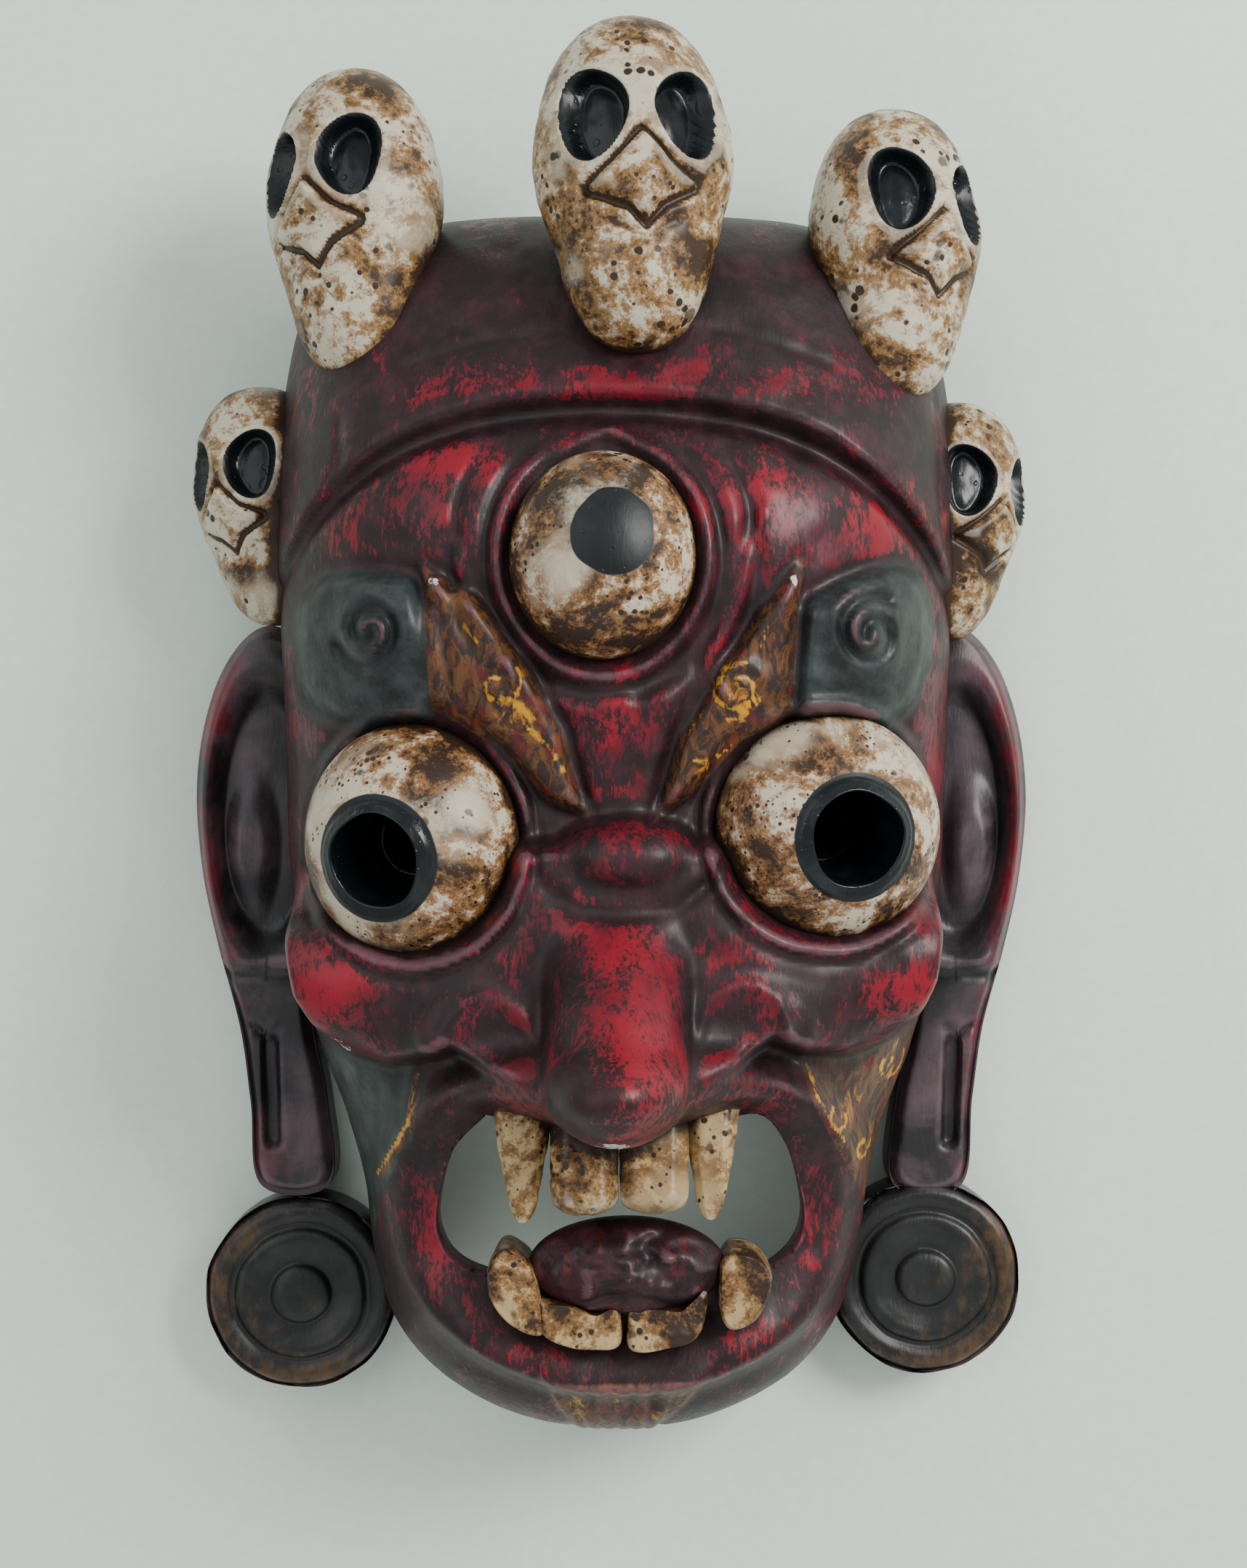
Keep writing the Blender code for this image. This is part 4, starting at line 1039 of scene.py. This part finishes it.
def mark_face(head):
    """Where the face is painted slate, ochre or bright red (partly painted highlight), where its wash lies
    heavier (partly painted shade), and where it is bare or chipped.
    """
    points = plan_points(head)
    x, y, z = points.T
    outside = z > plain_height(x, y, WALL) + 2.5
    slate = np.zeros(len(x))
    ochre = np.zeros(len(x))
    for block, inner in zip(BROW_BLOCKS, INNER_BROWS):
        slate = np.maximum(slate, soft_area(inside_outline(x, y, rounded(block)) + 1.0))
        ochre = np.maximum(ochre, soft_area(inside_outline(x, y, inner) + 0.5))
    slate = np.maximum(slate, soft_area(inside_outline(x, y, LEFT_BEARD)))
    ochre = np.maximum(ochre, soft_area(inside_outline(x, y, RIGHT_BEARD)))
    ochre = np.maximum(ochre, soft_area(inside_outline(x, y, GOATEE)))
    ochre = np.maximum(ochre, soft_area(1.6 - path_distance(x, y, BEARD_LINE), 1.5))
    gold = np.zeros(len(x))
    for form in INNER_CURLS + BEARD_CURLS[1:]:
        gold = np.maximum(gold, GOLD_CURL * hump(path_distance(x, y, curl(form, 0.9)), 0.0, 1.0))
    for stroke, width in GOLD_STROKES:
        gold = np.maximum(gold, GOLD_STROKE * hump(path_distance(x, y, stroke), 0.0, width))
    for dab in GOLD_DABS:
        gold = np.maximum(gold, GOLD_DAB * hump(oval(x, y, dab), 0.0, 1.0))
    heavy_wash_and_shade = spotted(x, y, HEAVY_WASH_AND_SHADE)
    # A darker ring on the lips' inner slope down into the mouth, partly painted shade.
    lip_ring = (oval(x, y, LIP_CREST) - 1.0) * 61.0
    heavy_wash_and_shade = np.maximum(heavy_wash_and_shade, 0.8 * hump(lip_ring, -20.0, 7.0) * smooth(-95, -105, y) * smooth(124, 116, z))
    store(head.data, "heavy_wash_and_shade", heavy_wash_and_shade)
    store(head.data, "slate", slate)
    store(head.data, "ochre", ochre)
    store(head.data, "gold", gold * np.clip(2 * ochre, 0, 1))
    store(head.data, "bright", spotted(x, y, BRIGHT_AND_LIT_SPOTS))
    store(head.data, "chips", spotted(x, y, CHIP_SPOTS))
    return outside


# Materials
class Mixer:
    """Short names for the nodes that a finish or a form is mixed from."""

    def __init__(self, tree):
        self.tree = tree

    def put(self, kind, feeds=None, **settings):
        """Places a node with its settings, and feeds its inputs."""
        made = self.tree.nodes.new(kind)
        for name, value in settings.items():
            setattr(made, name, value)
        for label, value in (feeds or {}).items():
            self.feed(value, made.inputs[label])
        return made

    def feed(self, value, socket):
        if isinstance(value, bpy.types.NodeSocket):
            self.tree.links.new(value, socket)
        else:
            socket.default_value = value

    def noise(self, place, scale, detail=4.0, rough=0.55, warp=0.0):
        feeds = {"Vector": place, "Scale": scale, "Detail": detail, "Roughness": rough, "Distortion": warp}
        return self.put("ShaderNodeTexNoise", feeds).outputs["Fac"]

    def cells(self, place, scale):
        return self.put("ShaderNodeTexVoronoi", {"Vector": place, "Scale": scale}).outputs["Distance"]

    def math(self, operation, a, b=0.0, clamp=False):
        return self.put("ShaderNodeMath", {0: a, 1: b}, operation=operation, use_clamp=clamp).outputs[0]

    def times(self, a, b, clamp=False):
        return self.math("MULTIPLY", a, b, clamp)

    def minus(self, a, b):
        return self.math("SUBTRACT", a, b)

    def plus(self, first, *others):
        for other in others:
            first = self.math("ADD", first, other)
        return first

    def swing(self, value, amount):
        """A value from 0 to 1 as an amount either side of 0."""
        return self.times(self.minus(value, 0.5), amount)

    def step(self, value, low, high):
        feeds = {"Value": value, "From Min": low, "From Max": high}
        return self.put("ShaderNodeMapRange", feeds, interpolation_type="SMOOTHSTEP").outputs["Result"]

    def mix(self, share, a, b):
        return self.put("ShaderNodeMix", {0: share, 6: a, 7: b}, data_type="RGBA").outputs[2]

    def stretch(self, place, scale):
        return self.put("ShaderNodeMapping", {"Vector": place, "Scale": scale}).outputs["Vector"]

    def area(self, name):
        return self.put("ShaderNodeAttribute", attribute_name=name).outputs["Fac"]

    def place(self):
        return self.put("ShaderNodeTexCoord").outputs["Object"]


def colour(red, green, blue):
    """A paint colour from the 0 to 255 values of a colour card."""
    shares = [c / 255.0 for c in (red, green, blue)]
    return (*[c / 12.92 if c <= 0.04045 else ((c + 0.055) / 1.055) ** 2.4 for c in shares], 1.0)


def effect(name, inputs, outputs, kind="ShaderNodeTree"):
    """An empty node group with named inputs and outputs."""
    tree = bpy.data.node_groups.new(name, kind)
    for label, socket_kind, value in inputs:
        socket = tree.interface.new_socket(label, in_out="INPUT", socket_type=socket_kind)
        if value is not None:
            socket.default_value = value
    for label, socket_kind in outputs:
        tree.interface.new_socket(label, in_out="OUTPUT", socket_type=socket_kind)
    ins = tree.nodes.new("NodeGroupInput").outputs
    outs = tree.nodes.new("NodeGroupOutput").inputs
    return Mixer(tree), ins, outs


FLOAT, VECTOR, COLOUR = "NodeSocketFloat", "NodeSocketVector", "NodeSocketColor"
PAINT, GEOMETRY = "NodeSocketMaterial", "NodeSocketGeometry"


def wash_and_painted_shade():
    """Dark wash in rubbed patches over the paint, with painted shade in the recesses; it thins where the
    paint is brighter, partly painted highlight.
    """
    m, ins, outs = effect(
        "wash and painted shade",
        (("Paint", COLOUR, None), ("Wash", COLOUR, None), ("Recess", FLOAT, 0.0), ("Bright", FLOAT, 0.0),
         ("Amount", FLOAT, 0.5), ("Patch Size", FLOAT, 30.0), ("Place", VECTOR, None)),
        (("Colour", COLOUR), ("Wash And Shade Mask", FLOAT)))
    size = ins["Patch Size"]
    patches = m.noise(ins["Place"], size, 5.0, 0.6, 0.5)
    dabs = m.noise(m.stretch(ins["Place"], (1.0, 0.55, 1.0)), m.times(size, 6.0), 6.0, 0.72, 0.8)
    bristle = m.noise(m.stretch(ins["Place"], (1.0, 0.25, 1.0)), m.times(size, 30.0), 3.0, 0.75)
    # Recess adds the wash in the hollows, partly as painted shade; Bright thins it on the lit spots, partly
    # painted highlight.
    rubbed = m.plus(m.times(patches, 1.1), m.times(dabs, 1.1), m.times(bristle, 0.9),
                    m.times(ins["Recess"], 0.45))
    rubbed = m.plus(m.minus(rubbed, m.times(ins["Bright"], 0.24)), ins["Amount"])
    mask = m.times(m.step(rubbed, 1.46, 1.66), 0.95)
    m.feed(m.mix(mask, ins["Paint"], ins["Wash"]), outs["Colour"])
    m.feed(mask, outs["Wash And Shade Mask"])
    return m.tree


def worn_edges():
    """Paint rubbed thin and grey where an edge stands proud."""
    m, ins, outs = effect(
        "worn edges",
        (("Paint", COLOUR, None), ("Worn", COLOUR, None), ("Ridge", FLOAT, 0.0), ("Amount", FLOAT, 0.6),
         ("Place", VECTOR, None)),
        (("Colour", COLOUR), ("Worn Mask", FLOAT)))
    breaks = m.noise(ins["Place"], 140.0, 5.0, 0.65)
    mask = m.step(m.plus(ins["Ridge"], m.minus(breaks, 0.5)), 0.35, 0.95)
    mask = m.times(mask, ins["Amount"], clamp=True)
    m.feed(m.mix(mask, ins["Paint"], ins["Worn"]), outs["Colour"])
    m.feed(mask, outs["Worn Mask"])
    return m.tree


def burnt_specks():
    """Small dark specks and pits scattered in clusters."""
    m, ins, outs = effect(
        "burnt specks",
        (("Paint", COLOUR, None), ("Speck", COLOUR, None), ("Scale", FLOAT, 260.0), ("Amount", FLOAT, 0.5),
         ("Place", VECTOR, None)),
        (("Colour", COLOUR), ("Pits", FLOAT)))
    size = m.noise(ins["Place"], 70.0, 3.0, 0.6)
    reach = m.times(m.minus(size, 0.42), m.times(ins["Amount"], 1.6))
    dots = m.cells(ins["Place"], ins["Scale"])
    blots = m.cells(ins["Place"], m.times(ins["Scale"], 0.42))
    small = m.step(m.minus(reach, dots), -0.05, 0.06)
    large = m.times(m.step(m.minus(m.times(reach, 0.9), blots), -0.04, 0.10), 0.8)
    mask = m.math("MAXIMUM", small, large)
    m.feed(m.mix(mask, ins["Paint"], ins["Speck"]), outs["Colour"])
    m.feed(mask, outs["Pits"])
    return m.tree


def knife_marks():
    """Height of the knife's facets, the brush's ridges and the wood's grain under the paint."""
    m, ins, outs = effect(
        "knife marks",
        (("Facets", FLOAT, 1.0), ("Bristles", FLOAT, 0.4), ("Place", VECTOR, None)),
        (("Height", FLOAT),))
    facets = m.noise(ins["Place"], 95.0, 2.0, 0.5, 0.3)
    bristles = m.noise(m.stretch(ins["Place"], (1.0, 0.22, 1.0)), 900.0, 3.0, 0.6)
    grain = m.noise(m.stretch(ins["Place"], (1.0, 0.12, 1.0)), 420.0, 4.0, 0.6)
    height = m.plus(m.times(facets, ins["Facets"]), m.times(bristles, ins["Bristles"]), m.times(grain, 0.25))
    m.feed(height, outs["Height"])
    return m.tree


GROUPS = {}


def use(m, name, **values):
    """Places a shared effect in a material with its own values."""
    feeds = {label.replace("_", " "): value for label, value in values.items()}
    return m.put("ShaderNodeGroup", feeds, node_tree=GROUPS[name]).outputs


def finish(name):
    """A new material with its shader, ready for its paint."""
    made = bpy.data.materials.new(name)
    made.use_nodes = True
    return Mixer(made.node_tree), made.node_tree.nodes["Principled BSDF"], made


def lay(m, shader, paint, roughness, height, strength, distance=0.0006, coat=None):
    """Connects colour, roughness and height to the shader, under a coat of weight and roughness."""
    m.feed(paint, shader.inputs["Base Color"])
    m.feed(roughness, shader.inputs["Roughness"])
    bump = m.put("ShaderNodeBump", {"Strength": strength, "Distance": distance, "Height": height})
    m.feed(bump.outputs["Normal"], shader.inputs["Normal"])
    shader.inputs["Specular IOR Level"].default_value = 0.34
    if coat:
        shader.inputs["Coat Weight"].default_value, shader.inputs["Coat Roughness"].default_value = coat


def gloss_change(m, place, size, change):
    """Roughness that wanders upwards from its lowest value by up to a change."""
    return m.plus(0.30, m.times(m.noise(place, size, 5.0, 0.6), change))


def red_lacquer(name, bright_paint, deep_paint, amount, patch):
    """Crimson lacquer rubbed through a near-black wash, with slate, ochre, gold and chipped areas; painted
    shade darkens its recesses and painted highlight lifts its lit spots.
    """
    m, shader, made = finish(name)
    place = m.place()
    recess, ridge, bright = m.area("recess"), m.area("ridge"), m.area("bright")
    tone = m.noise(place, 60.0, 5.0, 0.6)
    # Brighter red on the bright spots, partly painted highlight.
    paint = m.mix(m.step(m.plus(tone, m.times(bright, 0.35)), 0.4, 0.8), deep_paint, bright_paint)
    cloudy = m.step(m.noise(place, 110.0, 5.0, 0.65), 0.42, 0.68)
    # The wash lies heavier in the recesses and heavy spots, partly as painted shade.
    washed = use(m, "wash and painted shade", Paint=paint, Wash=m.mix(cloudy, colour(20, 13, 16), colour(50, 25, 32)),
                 Recess=recess, Bright=bright, Amount=m.plus(amount, m.times(m.area("heavy_wash_and_shade"), 0.22)),
                 Patch_Size=patch, Place=place)
    ragged = m.swing(tone, 0.3)

    slate = m.step(m.plus(m.area("slate"), ragged), 0.4, 0.6)
    cloudy = m.step(m.noise(place, 80.0, 6.0, 0.7), 0.35, 0.75)
    slate_paint = m.mix(cloudy, colour(18, 24, 23), colour(56, 66, 65))
    # Slate darkened in the recesses, partly painted shade.
    slate_paint = m.mix(m.times(recess, 0.8), slate_paint, colour(16, 19, 20))

    ochre = m.step(m.plus(m.area("ochre"), ragged), 0.4, 0.6)
    strokes = m.noise(m.stretch(place, (1.0, 0.5, 1.0)), 240.0, 5.0, 0.7, 1.2)
    ochre_paint = m.mix(m.step(strokes, 0.42, 0.62), colour(44, 30, 25), colour(104, 66, 32))
    blush = m.step(m.noise(place, 130.0, 4.0, 0.6), 0.52, 0.64)
    ochre_paint = m.mix(m.times(blush, 0.45), ochre_paint, colour(112, 22, 30))
    glow = m.plus(m.times(m.area("gold"), 0.8), m.times(strokes, 1.1))
    ochre_paint = m.mix(m.step(glow, 0.90, 1.16), ochre_paint, colour(206, 146, 26))
    # Ochre darkened in the recesses, partly painted shade.
    ochre_paint = m.mix(m.times(recess, 0.7), ochre_paint, colour(30, 20, 20))

    paint = m.mix(ochre, m.mix(slate, washed["Colour"], slate_paint), ochre_paint)
    worn = use(m, "worn edges", Paint=paint, Worn=colour(126, 86, 96), Ridge=ridge, Amount=0.42, Place=place)
    flaking = m.swing(m.noise(place, 420.0, 3.0, 0.6), 2.2)
    chips = m.step(m.plus(m.area("chips"), flaking), 0.74, 0.82)
    paint = m.mix(chips, worn["Colour"], colour(214, 208, 204))
    marks = use(m, "knife marks", Facets=0.8, Bristles=0.35, Place=place)["Height"]
    rough = m.plus(gloss_change(m, place, 150.0, 0.26), m.times(washed["Wash And Shade Mask"], 0.12))
    lay(m, shader, paint, rough, m.minus(marks, m.times(chips, 0.8)), 0.55, coat=(0.12, 0.25))
    return made


def bone_paint(name, light, stain, dark, amount, specks):
    """Off-white paint with a brown wash, burnt specks and glossy black sockets or pupils; its recesses and
    carved lines are darkened, partly as painted shade.
    """
    m, shader, made = finish(name)
    place = m.place()
    recess, ridge = m.area("recess"), m.area("ridge")
    tone = m.noise(place, 44.0, 6.0, 0.68, 0.5)
    fine = m.noise(place, 260.0, 8.0, 0.8)
    mottle = m.plus(m.swing(tone, 1.7), 0.425)
    mottle = m.plus(mottle, m.plus(m.swing(fine, 1.15), 0.425), m.times(recess, 0.5), amount)
    paint = m.mix(m.step(mottle, 0.76, 0.94), light, stain)
    paint = m.mix(m.step(mottle, 0.92, 1.12), paint, dark)
    bare = m.step(m.plus(m.noise(place, 24.0, 3.0, 0.5), m.times(fine, 0.3)), 0.72, 0.84)
    paint = m.mix(m.times(bare, 0.8), paint, light)
    washed = use(m, "burnt specks", Paint=paint, Speck=colour(50, 32, 20), Scale=specks, Amount=0.95,
                 Place=place)
    # Dark in the recesses and along the carved lines: partly the brown wash, partly painted shade.
    sunk = m.plus(recess, m.times(m.area("lines"), 0.8), m.swing(fine, 0.9))
    paint = m.mix(m.step(sunk, 0.35, 0.95), washed["Colour"], dark)
    worn = use(m, "worn edges", Paint=paint, Worn=colour(214, 204, 182), Ridge=ridge, Amount=0.3, Place=place)

    edge_noise = m.swing(m.noise(place, 160.0, 3.0, 0.5), 0.16)
    black = m.step(m.plus(m.area("black"), edge_noise), 0.42, 0.56)
    cloudy = m.step(m.noise(place, 90.0, 4.0, 0.6), 0.45, 0.75)
    paint = m.mix(black, worn["Colour"], m.mix(cloudy, colour(9, 16, 19), colour(24, 33, 36)))
    marks = use(m, "knife marks", Facets=0.8, Bristles=0.25, Place=place)["Height"]
    height = m.minus(m.minus(marks, m.times(washed["Pits"], 0.7)), m.times(black, 0.5))
    drilled = m.step(m.area("black"), 0.84, 0.96)
    rough = m.minus(gloss_change(m, place, 120.0, 0.28), m.times(drilled, 0.2))
    lay(m, shader, paint, rough, height, 0.5, coat=(0.1, 0.3))
    return made


def dark_lacquer(name, base, tint, rub, amount, patch):
    """Dark lacquer with a tint in patches and the colour below rubbed through, darker in the recesses, partly
    as painted shade.
    """
    m, shader, made = finish(name)
    place = m.place()
    recess, ridge, lift = m.area("recess"), m.area("ridge"), m.area("lift")
    tone = m.noise(place, patch, 6.0, 0.62, 0.3)
    dabs = m.noise(m.stretch(place, (1.0, 0.5, 1.0)), patch * 6.0, 5.0, 0.7)
    under = m.plus(m.times(dabs, 0.6), m.times(tone, 0.6), m.times(lift, 0.35), amount)
    paint = m.mix(m.step(tone, 0.38, 0.66), base, tint)
    paint = m.mix(m.step(under, 0.92, 1.16), paint, rub)
    # Darker in the recesses, partly painted shade.
    paint = m.mix(m.times(recess, 0.75), paint, colour(18, 17, 19))
    worn = use(m, "worn edges", Paint=paint, Worn=colour(108, 88, 96), Ridge=ridge, Amount=0.55, Place=place)
    marks = use(m, "knife marks", Facets=1.0, Bristles=0.4, Place=place)["Height"]
    lay(m, shader, worn["Colour"], gloss_change(m, place, 130.0, 0.25), marks, 0.6, coat=(0.25, 0.3))
    return made


def hollowed_wood():
    """Bare wood inside the hollow, darkened by age, with the gouge's marks."""
    m, shader, made = finish("hollowed_wood")
    place = m.place()
    gouges = m.cells(m.stretch(place, (1.0, 0.45, 1.0)), 95.0)
    grain = m.noise(m.stretch(place, (1.0, 0.08, 1.0)), 260.0, 6.0, 0.65, 0.4)
    paint = m.mix(m.step(grain, 0.35, 0.7), colour(74, 52, 36), colour(128, 94, 62))
    paint = m.mix(m.step(gouges, 0.35, 0.75), paint, colour(96, 70, 46))
    paint = m.mix(m.step(m.noise(place, 22.0, 5.0, 0.6), 0.45, 0.75), paint, colour(58, 42, 32))
    lay(m, shader, paint, 0.68, m.plus(gouges, m.times(grain, 0.2)), 0.8, 0.0012)
    return made


def floor_paint():
    """A plain pale floor."""
    m, shader, made = finish("pale_floor")
    grit = m.noise(m.place(), 240.0, 4.0, 0.6)
    paint = m.mix(m.step(grit, 0.3, 0.7), colour(229, 244, 232), colour(234, 248, 236))
    lay(m, shader, paint, 0.8, grit, 0.15, 0.0004)
    return made


# Making the pieces
for name, build in (("wash and painted shade", wash_and_painted_shade), ("worn edges", worn_edges),
                    ("burnt specks", burnt_specks), ("knife marks", knife_marks)):
    GROUPS[name] = build()

FACE_PAINT = red_lacquer(
    "face_lacquer", colour(138, 10, 34), colour(84, 14, 28), 0.08, 26.0)
TONGUE_PAINT = red_lacquer(
    "tongue_lacquer", colour(112, 18, 28), colour(60, 16, 22), 0.08, 60.0)
SKULL_PAINT = bone_paint(
    "skull_paint", colour(200, 192, 168), colour(142, 106, 62), colour(56, 38, 22), 0.07, 240.0)
EYE_PAINT = bone_paint(
    "eye_paint", colour(204, 192, 168), colour(138, 98, 58), colour(50, 34, 23), 0.12, 400.0)
TOOTH_PAINT = bone_paint(
    "tooth_paint", colour(184, 158, 112), colour(128, 92, 50), colour(50, 34, 22), 0.08, 300.0)
EAR_PAINT = dark_lacquer(
    "ear_lacquer", colour(36, 36, 38), colour(96, 78, 84), colour(112, 26, 38), 0.10, 30.0)
DISC_PAINT = dark_lacquer(
    "ear_disc_lacquer", colour(18, 21, 20), colour(36, 40, 37), colour(86, 62, 30), 0.10, 40.0)
WOOD = hollowed_wood()

head = make_head()
pieces = [head]
outside = mark_face(head)
head.data.materials.clear()
head.data.materials.append(FACE_PAINT)
head.data.materials.append(WOOD)
for face in head.data.polygons:
    corners = face.vertices
    face.material_index = 0 if sum(outside[v] for v in corners) * 2 >= len(corners) else 1
    face.use_smooth = True

for label, form, side, iris_turn in (("left_eyeball", LEFT_EYE, -1, LEFT_IRIS_TURN),
                                     ("right_eyeball", RIGHT_EYE, 1, RIGHT_IRIS_TURN)):
    made, centre, axis = make_eyeball(label, form, side, iris_turn)
    points = plan_points(made)
    away = points - centre
    along = away @ axis
    radius = np.linalg.norm(away - along[:, None] * axis, axis=1)
    in_front = along > 0
    near_iris = (IRIS_RADIUS + IRIS_LINE - radius) * in_front - ~in_front * (radius > BORE_MOST)
    store(made.data, "black", soft_area(near_iris, 1.6))
    made.data.materials.append(EYE_PAINT)
    pieces.append(made)

made = make_ball("third_eye", (*THIRD_EYE[:2], THIRD_EYE_HEIGHT), (*THIRD_EYE[2:], THIRD_EYE_DEPTH), 0.012)
points = plan_points(made)
pupil = oval(points[:, 0], points[:, 1], THIRD_PUPIL) + 0.07 * hand(points, 7.0)
store(made.data, "black", 0.8 * soft_area((1.0 - pupil) * 12.0, 1.6) * (points[:, 2] > THIRD_EYE_HEIGHT))
made.data.materials.append(EYE_PAINT)
pieces.append(made)

for label, (centre, sizes, turns) in SKULLS.items():
    made = make_skull(label, centre, sizes, turns)
    made.data.materials.append(SKULL_PAINT)
    pieces.append(made)

for label, side in (("left_ear", -1), ("right_ear", 1)):
    made = make_ear(label, side)
    made.data.materials.append(EAR_PAINT)
    pieces.append(made)
turned_disc = disc_tree()
for seed, (label, centre) in enumerate(DISC_CENTRES.items()):
    made = grow(label, turned_disc, Centre=in_frame((*centre, DISC_HEIGHT / 2.0)), Radius=DISC_RADIUS * UNIT,
                Height=DISC_HEIGHT * UNIT, Ring_Depth=DISC_DEPTH * UNIT, Unevenness=0.0024, Seed=float(seed),
                Paint=DISC_PAINT)
    pieces.append(made)

swept_tooth = tooth_tree()
teeth = []
for label, (root, tip, root_half, tip_half, half_thick) in UPPER_TEETH.items():
    teeth.append(grow(label, swept_tooth, Root=in_frame(root), Tip=in_frame(tip), Root_Width=root_half * UNIT,
                      Tip_Width=tip_half * UNIT, Thickness_Share=half_thick / root_half, Unevenness=0.0012,
                      Paint=TOOTH_PAINT))
for label, outline in LOWER_TEETH.items():
    made = make_tile(label, outline)
    made.data.materials.append(TOOTH_PAINT)
    teeth.append(made)
for made in teeth:
    store(made.data, "black", np.zeros(len(made.data.vertices)))
    store(made.data, "lines", np.zeros(len(made.data.vertices)))
    pieces.append(made)
made = make_tongue()
for area in ("slate", "ochre", "gold", "bright", "heavy_wash_and_shade", "chips"):
    store(made.data, area, np.zeros(len(made.data.vertices)))
made.data.materials.append(TONGUE_PAINT)
pieces.append(made)

mark_depths(pieces)
for made in pieces:
    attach(made, "root")
    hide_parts("mask")

# Stage, lamps and camera
FLOOR_HALF = 1600.0
FOCAL_PIXELS = 3296.0
PHOTO_WIDTH = 1715.0

corners = ((-1, -1), (1, -1), (1, 1), (-1, 1))
floor = piece("floor", [(FLOOR_HALF * x, FLOOR_HALF * y, 0) for x, y in corners], [(0, 1, 2, 3)])
floor.data.materials.append(floor_paint())


def lamp(name, spot, size, power, tint, target=(0.0, 0.0, 0.05)):
    """A soft square lamp aimed at the mask."""
    light = bpy.data.lights.new(name, "AREA")
    light.size, light.energy, light.color = size, power, tint
    made = bpy.data.objects.new(name, light)
    made.location = spot
    made.rotation_euler = (Vector(target) - Vector(spot)).to_track_quat("-Z", "Y").to_euler()
    bpy.context.scene.collection.objects.link(made)


lamp("window_light", (0.95, 0.55, 1.05), 0.6, 22.0, (1.0, 0.99, 0.97))
lamp("room_light", (-0.9, 0.5, 1.3), 1.6, 8.5, (0.93, 0.96, 1.0))
lamp("low_light", (0.1, -1.3, 1.0), 1.4, 3.5, (0.97, 0.98, 1.0))
lamp("light_behind_the_mouth", (0.004, -0.128, 0.066), 0.07, 0.010, (0.93, 0.97, 1.0), (0.004, -0.128, 0.0))
world = bpy.data.worlds.new("soft_room")
world.use_nodes = True
sky = world.node_tree.nodes["Background"].inputs
sky["Color"].default_value = (0.86, 0.88, 0.88, 1.0)
sky["Strength"].default_value = 0.62
bpy.context.scene.world = world

camera = bpy.data.cameras.new("camera")
camera.sensor_fit = "HORIZONTAL"
camera.sensor_width = 36.0
camera.lens = FOCAL_PIXELS / PHOTO_WIDTH * camera.sensor_width
view = bpy.data.objects.new("camera", camera)
view.location = (0.004, -0.012, 0.800)
bpy.context.scene.collection.objects.link(view)
bpy.context.scene.camera = view
